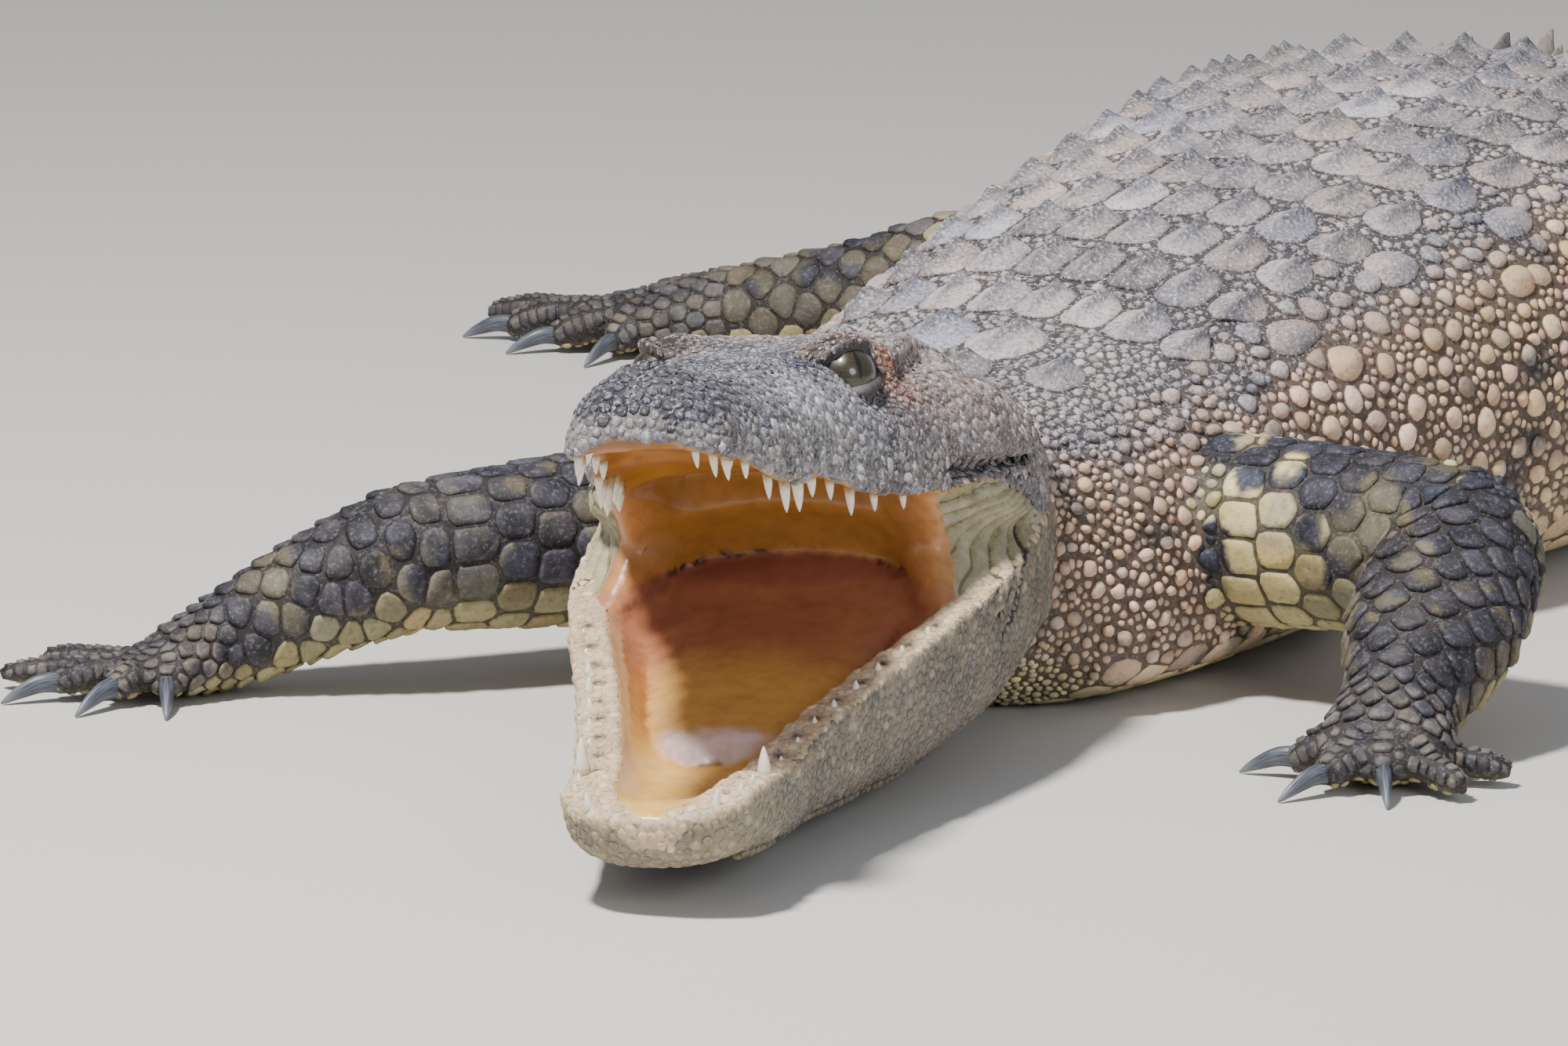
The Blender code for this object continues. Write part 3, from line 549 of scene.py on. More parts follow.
# Where lids, nostrils and the folds at the mouth's corners need it, the skin is divided finer.
GAZE = np.array([0.74, 0.62, 0.30])  # the way an eye looks: ahead, outward and up
GAZE = GAZE / np.linalg.norm(GAZE)
LID_SLOPE = 0.26  # the front corner of the eye is drawn down
NOSTRIL_AT = (0.563, 0.014)
# The corner that the cheek's folds spread from, ahead, left and up of the jaw joint.
FOLD_ROOT = np.array([-0.012, 0.160, 0.048])


def divided(piece, chosen_of):
    """Divides the faces whose points are all chosen."""
    chosen = chosen_of(points_of(piece))
    bm = bmesh.new()
    bm.from_mesh(piece.data)
    bm.verts.ensure_lookup_table()
    inside = [e for e in bm.edges if chosen[e.verts[0].index] and chosen[e.verts[1].index]]
    bmesh.ops.subdivide_edges(bm, edges=inside, cuts=1, smooth=0.0)
    bmesh.ops.triangulate(bm, faces=[f for f in bm.faces if len(f.verts) > 3])
    bm.to_mesh(piece.data)
    bm.free()


def near_spots(points, spots, radius):
    at = jaw_place(points, SKULL_AXES)
    return np.any([np.linalg.norm(at - spot, axis=1) < radius for spot in spots], axis=0)


eye_spots = [EYE_AT * (1, side, 1) for side in (1, -1)]
nostril_spots = [np.array([NOSTRIL_AT[0], side * NOSTRIL_AT[1], 0.068]) for side in (1, -1)]


def in_web(points):
    """The stretch of cheek between the jaws, on both sides."""
    at = jaw_place(points, MID_AXES)
    return ((at[:, 0] > 0.0) & (at[:, 0] < 0.20) & (np.abs(at[:, 1]) > 0.100)
            & (at[:, 2] > -0.035) & (at[:, 2] < 0.075))


divided(skin, lambda p: near_spots(p, eye_spots, 0.042) | near_spots(p, nostril_spots, 0.022) | in_web(p))
divided(skin, lambda p: near_spots(p, eye_spots, 0.034) | near_spots(p, nostril_spots, 0.016))


def grain(points, size, seed=0):
    """Smooth random values from -1 to 1 that change over so many metres."""
    place = points / size + 200.0
    cell = np.floor(place).astype(np.int64)
    part = place - cell
    part = part * part * (3 - 2 * part)
    total = np.zeros(len(points))
    for step in itertools.product((0, 1), repeat=3):
        # Each corner of a cell gets its own value by stirring the corner's whole numbers together.
        x, y, z = (cell + step).T
        stirred = x * 73856093 ^ y * 19349663 ^ z * 83492791
        stirred = (stirred ^ (seed * 7919 + 12345)) & 0xFFFFFFFF
        stirred = ((stirred ^ (stirred >> 15)) * 2246822519) & 0xFFFFFFFF
        stirred = ((stirred ^ (stirred >> 13)) * 3266489917) & 0xFFFFFFFF
        value = ((stirred ^ (stirred >> 16)) & 0xFFFF) / 32767.5 - 1
        near_x, near_y, near_z = np.where(step, part, 1 - part).T
        total += value * (near_x * near_y * near_z)
    return total


def normals_of(piece):
    normal = np.empty(len(piece.data.vertices) * 3, np.float32)
    piece.data.vertex_normals.foreach_get("vector", normal)
    return normal.reshape(-1, 3).astype(float)


# Every point of the skin learns which tube it came from and where on it it lies.
flesh_tree = BVHTree.FromPolygons(flesh_points.tolist(), flesh_faces)
points, edges = points_of(skin), edges_of(skin)
nearest = np.array([flesh_tree.find_nearest(p)[2] for p in points.tolist()])
skin_part, skin_at = flesh_part[nearest], flesh_at[nearest]
IN_MOUTH = [PALATE, MOUTH_FLOOR, LINING, TONGUE_PART]


def soft_edged(member, share):
    """1 on the chosen points of the skin and 0 elsewhere, with a soft edge between."""
    return relaxed(member.astype(float)[:, None], edges, np.full(len(points), share), 3)[:, 0]


wet = soft_edged(np.isin(skin_part, IN_MOUTH), 0.6)

# Upper and lower teeth: distance ahead of the joint as a share of the jaw's length, height, root radius.
UPPER_TEETH = [(0.980, 0.010, 0.0032), (0.955, 0.013, 0.0036), (0.915, 0.015, 0.0040), (0.872, 0.010, 0.0034),
               (0.812, 0.010, 0.0034), (0.765, 0.013, 0.0038), (0.715, 0.018, 0.0046), (0.665, 0.022, 0.0052),
               (0.610, 0.015, 0.0042), (0.550, 0.012, 0.0036), (0.495, 0.016, 0.0042), (0.435, 0.009, 0.0034),
               (0.375, 0.008, 0.0032)]
LOWER_TEETH = [(0.975, 0.013, 0.0042), (0.938, 0.007, 0.0034), (0.900, 0.007, 0.0034), (0.858, 0.026, 0.0060),
               (0.805, 0.006, 0.0034), (0.755, 0.006, 0.0034), (0.705, 0.007, 0.0036), (0.650, 0.008, 0.0038),
               (0.590, 0.010, 0.0042), (0.530, 0.009, 0.0040), (0.470, 0.007, 0.0036), (0.405, 0.006, 0.0034)]
upper = jaw_place(points, SKULL_AXES)
lower = jaw_place(points, JAW_AXES)
level = jaw_place(points, MID_AXES)
normal = normals_of(skin)
push = np.zeros(len(points))
on_skull = soft_edged(skin_part == SKULL_PART, 0.5)
on_jaw = soft_edged(skin_part == JAW_PART, 0.5)
side = np.abs(upper[:, 1])

# Swellings of the upper lip over each tooth root, and low mounds round the sockets of the lower jaw.
lip_here = eased(SKULL, upper[:, 0] / SKULL_LENGTH)[:, 2]
over_lip = bell(upper[:, 2] - lip_here - 0.006, 0.016)
rim_here = jaw_wave(lower[:, 0] / JAW_LENGTH)
on_rim = bell(lower[:, 2] - rim_here, 0.008) * ramp(lower[:, 0], 0.16, 0.22)
for t, height, _ in UPPER_TEETH:
    push += on_skull * over_lip * (0.0036 + 0.14 * height) * bell(upper[:, 0] - t * SKULL_LENGTH, 0.0085)
for t, *_ in LOWER_TEETH:
    push += on_jaw * on_rim * 0.0034 * bell(lower[:, 0] - t * JAW_LENGTH, 0.007)

# The ear's slit below the edge of the skull's table, under its overhanging flap.
ear_window = ramp(upper[:, 0], 0.085, 0.115) * (1 - ramp(upper[:, 0], 0.190, 0.215))
push -= on_skull * ear_window * 0.011 * bell(side - 0.104, 0.0075)
push += on_skull * ear_window * 0.0035 * bell(side - 0.088, 0.007)
# The temple sinks between the table and the bulge of the jaw's muscles.
push -= on_skull * 0.006 * bell(upper[:, 0] - 0.10, 0.07) * bell(side - 0.118, 0.018)
# Nostrils: two crescent slits in a swollen disc.
for spot in nostril_spots:
    away = np.hypot(upper[:, 0] - spot[0], upper[:, 1] - spot[1])
    push += on_skull * 0.0024 * bell(away - 0.0105, 0.0030)
    slit = bell(away - 0.0052, 0.0022) * ramp(upper[:, 0] - spot[0], 0.004, -0.002)
    push -= on_skull * 0.0052 * slit
# The cheek's folds, fine stretched pleats that spread from the mouth's corner, below a deep slit.
from_root = level - FOLD_ROOT * np.where(level[:, 1:2] > 0, 1, -1) ** np.array([0, 1, 0])
fold_run = np.hypot(from_root[:, 0], from_root[:, 2])
fold_angle = np.degrees(np.arctan2(from_root[:, 2], from_root[:, 0]))
outer = ramp(np.abs(level[:, 1]), 0.098, 0.116) * (1 - wet)
fold_zone = (outer * ramp(fold_angle, -40, -33) * (1 - ramp(fold_angle, 1, 5)) * ramp(fold_run, 0.015, 0.045)
             * (1 - ramp(fold_run, 0.185, 0.205)))
pleat = fold_angle + 1.6 * grain(level, 0.022, 5)
pleat_top = np.abs(np.sin(np.radians(pleat * 180 / 5.2))) ** 0.7
push += fold_zone * (0.0042 * pleat_top - 0.0040)
UPPER_SLIT, LOWER_SLIT = 6.5, -36.5  # degrees above and below the level through the corner
fold_end = 1 - ramp(fold_run, 0.16, 0.19)
push -= (outer * 0.015 * bell(fold_angle - UPPER_SLIT, 3.2) * ramp(fold_run, 0.006, 0.03)
         * (1 - ramp(fold_run, 0.150, 0.180)))
push -= outer * 0.0035 * bell(fold_angle - LOWER_SLIT, 1.7) * ramp(fold_run, 0.02, 0.05) * fold_end
# The two slits get painted shade, through a low rise of the skin there.
slit_shade = outer * np.maximum(bell(fold_angle - UPPER_SLIT, 3.6) * ramp(fold_run, 0.01, 0.03) * fold_end,
                                bell(fold_angle - LOWER_SLIT, 2.0) * ramp(fold_run, 0.03, 0.05) * fold_end)
# Rough bone under thin skin on the snout and the table.
rough = (0.0016 * grain(points, 0.030, 1) + 0.0012 * grain(points, 0.013, 2)
         + 0.0008 * np.abs(grain(points, 0.007, 3)))
push += on_skull * rough * (1 - 0.6 * fold_zone)
push += on_jaw * 0.4 * rough
# Soft unevenness inside the mouth.
push += wet * (0.0008 * grain(points, 0.016, 4) + 0.0003 * grain(points, 0.006, 6))
points = points + push[:, None] * normal

# Lids: the skin rises into a thick rim round each eye and dives under the eyeball inside the opening.
# Share of the way from the pupil to the edge of the lids, and how far the skin stands off the eyeball.
LID = [(0.0, -0.0050), (0.75, -0.0045), (0.93, -0.0014), (1.0, 0.0012), (1.08, 0.0040), (1.20, 0.0052),
       (1.34, 0.0036), (1.48, 0.0048), (1.62, 0.0030), (1.80, 0.0036), (2.2, 0.003)]
upper = jaw_place(points, SKULL_AXES)
for centre, sign in zip(eye_spots, (1, -1)):
    gaze = GAZE * (1, sign, 1)
    level_axis = np.cross(gaze, (0, 0, 1.0)) * sign
    level_axis /= np.linalg.norm(level_axis)
    rise_axis = np.cross(level_axis, gaze) * sign
    rise_axis *= np.sign(rise_axis[2])
    level_axis *= np.sign(level_axis[0])
    away = upper - centre
    radius = np.maximum(np.linalg.norm(away, axis=1), 1e-6)
    x, y, z = (away @ axis / radius for axis in (level_axis, rise_axis, gaze))
    tilted = y + LID_SLOPE * x
    opening = np.sqrt((x / 1.06) ** 2 + (tilted / np.where(tilted > 0, 0.52, 0.66)) ** 2)
    opening = np.where(z > 0, opening, 3.0)
    lid = eased(LID, opening)[:, 0]
    blend = (1 - ramp(opening, 1.45, 2.15)) * (radius < 0.05)
    target = EYE_RADIUS + lid + 0.0030 * ramp(tilted, 0.0, 0.3) * ramp(opening, 1.0, 1.15)
    new_radius = radius + blend * (target - radius)
    upper = centre + away * (new_radius / radius)[:, None]
    around = (radius < 0.060) * ramp(opening, 1.35, 1.7) * (1 - ramp(radius, 0.045, 0.060))
    upper = relaxed(upper, edges, 0.55 * around, 7)
points = upper @ SKULL_AXES + JAW_JOINT
set_points(skin, points)


# --- The scales ------------------------------------------------------------------------------------------
# Horny plates, each grown on its own patch of skin with a groove all round that gets painted shade. Down the
# back they are oval and keeled, on the flanks round as pebbles, on belly and tail square and in rings, on the
# limbs broad bands, and on the jaws fine grains. Each is a closed cap sunk a little into the skin.
SINK = 0.0011  # how far a scale's edge lies under the skin
rng = np.random.default_rng(7)


def srgb(code):
    """Linear colour from an sRGB hex value."""
    value = np.array([int(code[i:i + 2], 16) for i in (1, 3, 5)]) / 255
    return np.where(value <= 0.04045, value / 12.92, ((value + 0.055) / 1.055) ** 2.4)


def mixed(a, b, share):
    """Colours a and b, arrays or sRGB hex values, mixed by share: all a at 0 and all b at 1."""
    a, b = (srgb(colour) if isinstance(colour, str) else colour for colour in (a, b))
    return a + (b - a) * np.clip(share, 0, 1)[..., None]


# Where the lower jaw's sockets lie, as a share of its length.
PITS = (0.885, 0.832, 0.782, 0.73, 0.678, 0.62, 0.56, 0.50, 0.437, 0.37)
PIT_RADIUS = 0.0048
TAIL_BAR = 0.165  # from one dark bar of the tail to the next


def markings(points, part, at):
    """The animal's own colours at places on its hide: pale grey above, cream flanks, dark blotched limbs;
    with painted shade and painted highlights round the eyes, on the jaw's rim and in the mouth.
    """
    u, v = at[:, 0], at[:, 1]
    broad, middling = grain(points, 0.09, 11), grain(points, 0.028, 12)
    fine = grain(points, 0.010, 13)
    colour = np.broadcast_to(srgb("#B3A79A"), points.shape)
    height = np.sin(v)
    back = mixed("#B9AEAE", "#7F7B85", 0.45 + 0.55 * middling + 0.25 * broad)
    flank = mixed("#C4A08A", "#D2BA8C", 0.4 + 0.8 * fine + ramp(height, 0.2, -0.3) * 0.5)
    flank = mixed(flank, "#C7A795", 0.7 * ramp(u, 0.75, 0.35))
    flank = mixed(flank, "#5C5450", 0.9 * ramp(middling + 0.5 * broad, 0.35, 0.80))
    belly = mixed("#D6C79B", "#B8A67C", 0.5 + 0.6 * middling)
    trunk = mixed(flank, back, ramp(height + 0.10 * middling, 0.48, 0.80))
    trunk = mixed(trunk, belly, ramp(height, -0.35, -0.70))
    bar = np.sin(u * (2 * math.pi / TAIL_BAR)) + 0.7 * broad + 0.5 * middling
    bar = ramp(bar, 0.15, 0.55) * ramp(height, -0.5, 0.0)
    tail = mixed("#A89F93", "#C9B98C", 0.5 + 0.7 * middling - height * 0.4)
    tail = mixed(tail, "#4B4950", 0.85 * bar)
    tail = mixed(tail, belly, ramp(height, -0.45, -0.75))
    trunk = mixed(trunk, tail, ramp(u, 1.35, 1.75))
    colour = np.where((part == BODY_PART)[:, None], trunk, colour)
    blotch = grain(points * (1, 1, 0.8), 0.030, 14) + 0.7 * grain(points, 0.055, 15) + 0.25 * fine
    dark = ramp(blotch + 0.55 * height - 0.75 * (part >= FIRST_HIND_LIMB), 0.02, 0.30)
    pale = mixed("#CFC089", "#8F8A8C", 0.5 * ramp(middling, 0.0, 0.6))
    arm = mixed(pale, mixed("#1B1C28", "#3A3B4D", 0.4 + 0.6 * fine), dark)
    toes = mixed("#34323B", "#6E685F", 0.35 + 0.7 * fine)
    lower_arm = mixed("#1E1D25", "#45414A", 0.4 + 0.8 * fine)
    arm = mixed(arm, lower_arm, 0.85 * ramp(u + 0.06 * broad, 1.0, 1.12))
    arm = mixed(arm, toes, ramp(u, 1.65, 1.95))
    arm = mixed(arm, "#A59A6C", ramp(height, -0.2, -0.65) * 0.8)
    colour = np.where((part >= FIRST_LIMB)[:, None], arm, colour)
    skull = mixed("#3E3E4B", "#73707A", 0.5 + 0.9 * middling)
    skull = mixed(skull, "#9C8C86", ramp(u + 0.02 * broad, 0.27, 0.12) * 0.75)
    on_head = jaw_place(points, SKULL_AXES)
    behind_eye = on_head - EYE_AT * np.where(on_head[:, 1:2] > 0, 1, -1) ** np.array([0, 1, 0])
    rust = (bell(behind_eye[:, 0] + 0.036, 0.030) * bell(behind_eye[:, 2] - 0.012, 0.030)
            * ramp(np.abs(on_head[:, 1]), 0.05, 0.08))
    skull = mixed(skull, "#7C4526", 1.1 * rust * (1 + 0.4 * fine))
    off_eyeball = np.linalg.norm(behind_eye, axis=1) - EYE_RADIUS
    # The upper lids get a pinkish band: partly the lids' own colour, partly a painted highlight along their
    # rim.
    lids = bell(off_eyeball - 0.006, 0.010)
    skull = mixed(skull, "#A58A78", 0.65 * lids * ramp(behind_eye[:, 2], 0.0, 0.016))
    # A dark rim round each eye: partly the lids' own dark edge, partly painted shade where they close over
    # the eyeball.
    lid_rim_shade = bell(off_eyeball - 0.003, 0.009)
    skull = mixed(skull, "#1C1817", 0.96 * lid_rim_shade)
    skull = mixed(skull, "#B9B6BB", 0.70 * bell(u - 0.36, 0.09) * ramp(np.abs(v) + 0.3 * middling, 0.3, 0.9))
    snout_top = ramp(u + 0.03 * middling, 0.44, 0.53) * ramp(np.abs(v) + 0.25 * broad, 1.5, 1.0)
    skull = mixed(skull, "#2A2934", 0.75 * snout_top)
    skull = mixed(skull, "#8F8A88", 0.6 * ramp(np.abs(v), 1.15, 1.5))
    colour = np.where((part == SKULL_PART)[:, None], skull, colour)
    jaw = mixed("#696257", "#837A6B", 0.5 + 0.8 * middling)
    jaw = mixed(jaw, "#94886F", ramp(u, 0.48, 0.58) * 0.8)
    jaw = mixed(jaw, "#CDB595", ramp(np.abs(v) + 0.03 * fine, 1.47, 1.57))
    # Dark pits along the tooth-bearing rim, where worn teeth have left their sockets: painted shade, with no
    # hollow in the skin.
    on_jaw_at = jaw_place(points, JAW_AXES)
    socket_shade = np.zeros(len(points))
    for t in PITS:
        lateral = eased(JAW, t)[0] - 0.55 * jaw_rim(t)
        away = np.hypot(on_jaw_at[:, 0] - t * JAW_LENGTH, np.abs(on_jaw_at[:, 1]) - lateral)
        socket_shade = np.maximum(socket_shade, bell(away, PIT_RADIUS))
    jaw = mixed(jaw, "#33261F", socket_shade * ramp(on_jaw_at[:, 2], -0.03, -0.015))
    colour = np.where((part == JAW_PART)[:, None], jaw, colour)
    web = mixed("#948B68", "#B3A988", 0.5 + 0.8 * fine)
    colour = np.where((part == WEB)[:, None], web, colour)
    palate = mixed("#B98238", "#8C5520", 0.3 + 0.4 * middling + ramp(u, 0.36, 0.54))
    palate = mixed(palate, "#C99A62", 0.6 * ramp(np.abs(v), 0.86, 0.98))
    colour = np.where((part == PALATE)[:, None], palate, colour)
    rise = np.clip((u - JAW_PITCH) / (SKULL_PITCH - JAW_PITCH), 0, 1) + fold_sag(v)
    lining = mixed("#95594A", "#B98440", ramp(rise, 0.24, 0.30))
    # The deep fold gets a near-black line of painted shade.
    fold = ramp(rise, 0.185, 0.225) * ramp(rise, 0.31, 0.285) * ramp(np.abs(v), 0.72, 0.62)
    lining = mixed(lining, "#240B08", fold)
    lining = mixed(lining, "#C48A5C", 0.7 * ramp(np.abs(v), 0.64, 0.9))
    colour = np.where((part == LINING)[:, None], lining, colour)
    tongue = mixed("#A16650", "#D0A258", ramp(u, 0.19, 0.32) + 0.16 * middling)
    # Painted shade along the tongue's sides, where it meets the floor of the mouth.
    tongue = mixed(tongue, "#5E3A1E", 0.65 * ramp(np.sin(v), 0.42, 0.10))
    # A painted highlight: a streaked pale lavender crescent along the tongue's front rim.
    highlight_streaks = grain(points * (1.0, 3.0, 1.0), 0.020, 41)
    tongue = mixed(tongue, "#DCCBD6", ramp(u + 0.006 * highlight_streaks, 0.376, 0.396) * ramp(v, 0.3, 0.9)
                   * ramp(math.pi - v, 0.3, 0.9) * (0.75 + 0.25 * highlight_streaks))
    colour = np.where((part == TONGUE_PART)[:, None], tongue, colour)
    bed = mixed("#A0664C", "#A86E38", ramp(u, 0.20, 0.30))
    bed = mixed(bed, "#E4B662", ramp(u, 0.34, 0.44) + 0.1 * middling)
    bed = mixed(bed, "#D9B48A", ramp(np.abs(v), 0.80, 0.95) * ramp(u, 0.15, 0.25))
    return np.where((part == MOUTH_FLOOR)[:, None], bed, colour)


# The finished skin, to set scales on: where a point lands, the smoothed normal there and what it is part of.
points, edges = points_of(skin), edges_of(skin)
skin_faces = [tuple(f.vertices) for f in skin.data.polygons]
corner = np.array(skin_faces)
skin_tree = BVHTree.FromPolygons(points.tolist(), skin_faces)
smooth_normals = unit(relaxed(normals_of(skin), edges, np.full(len(points), 0.5), 3))


def landed(places):
    """The nearest spot of the skin to each place, its face, and how far off it is."""
    found = [skin_tree.find_nearest(p) for p in np.asarray(places).tolist()]
    return np.array([f[0] for f in found]), np.array([f[2] for f in found]), np.array([f[3] for f in found])


tiles = {key: [] for key in ("place", "normal", "along", "long", "wide", "kind", "part", "at")}
# Kind: dome height, keel height, how far the rear edge lifts, groove width, edge squareness, which cap.
KINDS = {
    "scute": (0.0030, 0.0125, 0.0010, 0.0016, 3.4, "large"),
    "outer_scute": (0.0042, 0.0120, 0.0010, 0.0022, 2.6, "large"),
    "nuchal": (0.0050, 0.0130, 0.0010, 0.0026, 2.6, "large"),
    "oval": (0.0055, 0.0030, 0.0006, 0.0026, 2.3, "middle"),
    "pebble": (0.0050, 0.0, 0.0, 0.0016, 2.2, "small"),
    "bead": (0.0044, 0.0, 0.0, 0.0012, 2.4, "small"),
    "grain": (0.0018, 0.0, 0.0, 0.0008, 2.0, "small"),
    "rough": (0.0011, 0.0, 0.0, 0.0, 2.0, "small"),
    "square": (0.0026, 0.0, 0.0012, 0.0012, 7.0, "middle"),
    "band": (0.0026, 0.0, 0.0024, 0.0011, 7.0, "middle"),
    "belly": (0.0016, 0.0, 0.0002, 0.0010, 7.0, "small"),
    "tail": (0.0026, 0.0030, 0.0014, 0.0012, 7.0, "middle"),
    "crest": (0.0030, 0.0400, 0.0, 0.0010, 2.4, "large"),
    "fringe": (0.0020, 0.0140, 0.0, 0.0010, 2.4, "middle"),
    "toe": (0.0018, 0.0, 0.0012, 0.0009, 6.0, "small"),
}
KIND_NAMES = list(KINDS)


def lay(places, along, long, wide, kind, part, at, reach=0.016):
    """Sets scales where places land on the skin, leaving out those that land too far off or in the mouth."""
    spots, faces, off = landed(places)
    three = corner[faces]
    normal = unit(smooth_normals[three].mean(1))
    keep = (off < reach) & (wet[three].max(1) < 0.5) & (skin_part[three[:, 0]] == part)
    along = unit(along - normal * (along * normal).sum(1, keepdims=True))
    count = len(places)
    if part >= FIRST_LIMB and kind == "square":
        # A wide plate needs level ground of its own limb under all four ends.
        creased = (smooth_normals[three] * normal[:, None]).sum(2).min(1) < 0.80
        keep &= ~creased & np.all(skin_part[three] == part, axis=1)
        sideways = np.cross(normal, along)
        for end in (along * long, along * -long, sideways * wide, sideways * -wide):
            probed = corner[landed(spots + 0.8 * end)[1]]
            keep &= np.all(skin_part[probed] == part, axis=1)
            keep &= (smooth_normals[probed].mean(1) * normal).sum(1) > 0.55
    rows = {"place": spots, "normal": normal, "along": along, "long": np.broadcast_to(long, count),
            "wide": np.broadcast_to(wide, count), "kind": np.full(count, KIND_NAMES.index(kind)),
            "part": np.full(count, part), "at": np.broadcast_to(at, (count, 2))}
    for key, values in rows.items():
        tiles[key].append(np.asarray(values)[keep])


GIRTH_STEPS = 400  # points that a girth of the body is measured with


def body_ring_at(s, offsets):
    """Places round the body at distance s, so many metres of skin to the left (+) or right (-) of its top."""
    turns = np.linspace(math.pi / 2, -math.pi * 3 / 2, GIRTH_STEPS)
    ring = body_surface(np.full(GIRTH_STEPS, s), turns)
    run = np.concatenate([[0], np.cumsum(np.linalg.norm(np.diff(ring, axis=0), axis=1))])
    found = np.interp(np.mod(offsets, run[-1]), run, turns)
    return body_surface(np.full(len(found), s), found), found, run[-1]


def lay_ring(s, offsets, long, wide, kind):
    if not len(offsets):
        return
    places, turns, _ = body_ring_at(s, np.asarray(offsets))
    _, along = on_curve(BACK_LINE, np.array([s]))
    way = np.broadcast_to([*along[0], 0.0], (len(places), 3))
    lay(places, way, long, wide, kind, BODY_PART,
        np.column_stack([np.full(len(places), s), turns % (2 * math.pi)]))


# A double row of beads runs along each side of the throat, under the edge of the jaw.
for sign in (1, -1):
    for row, turn in enumerate((0.50, 0.62)):
        ahead = np.arange(0.10, 0.545, 0.0105) + 0.005 * row
        half, depth = eased(JAW, ahead / JAW_LENGTH).T
        places = np.stack([ahead, sign * half * math.sin(turn) ** 0.8 * (1 + 0.07 * math.sin(2 * turn) ** 2),
                           -depth * math.cos(turn) ** 0.7], -1) @ JAW_AXES + JAW_JOINT
        lay(places, np.broadcast_to(-JAW_AXES[0], places.shape), 0.0052, 0.0050, "bead", JAW_PART,
            np.column_stack([ahead, np.full(len(ahead), sign * turn)]))
# Nape: a square of four great keeled shields with a smaller one at each side, and a row behind the skull.
for s, offsets, size in ((0.150, (-0.030, 0.030), 0.034), (0.222, (-0.033, 0.033), 0.036),
                         (0.188, (-0.098, 0.098), 0.027)):
    lay_ring(s, offsets, size, size * 0.86, "nuchal")
lay_ring(0.055, (-0.075, -0.028, 0.028, 0.075), 0.014, 0.012, "oval")
# Back: seventeen cross rows of keeled plates, six at the shoulders and hips and eight across the trunk.
ROW_PITCH = 0.073
for row, s in enumerate(np.arange(0.300, 1.50, ROW_PITCH)):
    half = float(eased(BODY, s)[0])
    columns, spacing = (8, half * 0.172) if half > 0.236 else (6, half * 0.205)
    steps = np.arange(columns) - (columns - 1) / 2
    offsets = steps * spacing + rng.normal(0, 0.0015, columns)
    edge = np.abs(steps) > columns / 2 - 1
    lay_ring(s, offsets[~edge], ROW_PITCH * 0.46, spacing * 0.47, "scute")
    lay_ring(s + 0.004, offsets[edge], ROW_PITCH * 0.44, spacing * 0.42, "outer_scute")
    if row % 2:
        reach = (columns / 2 + 0.35 + 0.25 * rng.random()) * spacing
        lay_ring(s + 0.02, (-reach, reach), 0.031, 0.019, "oval")
    if row % 3 == 1:
        reach = (columns / 2 + 1.35 + 0.3 * rng.random()) * spacing
        lay_ring(s + 0.05, (-reach, reach), 0.023, 0.015, "oval")
# Belly: square plates in even cross rows.
BELLY_PITCH = 0.034
for s in np.arange(0.12, 1.46, 0.040):
    _, _, girth = body_ring_at(s, np.array([0.0]))
    count = int(girth * 0.40 / BELLY_PITCH)
    offsets = girth / 2 + (np.arange(count) - (count - 1) / 2) * BELLY_PITCH
    lay_ring(s, offsets, 0.020, 0.017, "belly")
# Tail: whole rings of squarish plates, with the crest of upright flaps in two rows that join in one.
s = 1.505
CREST_JOIN = 2.42
while s < TAIL_TIP - 0.02:
    pitch = float(eased([(1.5, 0.062), (2.4, 0.052), (3.0, 0.040), (3.34, 0.024)], s)[0])
    _, _, girth = body_ring_at(s, np.array([0.0]))
    parting = float(eased([(1.5, 0.056), (1.9, 0.036), (CREST_JOIN, 0.0)], s)[0])
    count = max(int((girth - 2 * parting) / (0.036 if s < 2.6 else 0.028)), 6)
    width = (girth - 2 * parting - 0.012) / count
    offsets = parting + 0.006 + (np.arange(count) + 0.5) * width
    lay_ring(s, offsets, pitch * 0.50, width * 0.50, "tail")
    if s < CREST_JOIN:
        lay_ring(s, (-parting, parting), pitch * 0.49, 0.009, "crest")
        room = parting - 0.009
        inner = max(int(2 * room / 0.030), 0)
        if inner:
            lay_ring(s, (np.arange(inner) - (inner - 1) / 2) * 2 * room / inner, pitch * 0.48, room / inner,
                     "tail")
    else:
        lay_ring(s, (0.0,), pitch * 0.49, 0.008, "crest")
    s += pitch


def level_and_up(along):
    """The level direction across a line, and the one square to both."""
    flat = np.cross(along, (0, 0, 1.0))
    flat /= np.linalg.norm(flat)
    return flat, np.cross(flat, along)


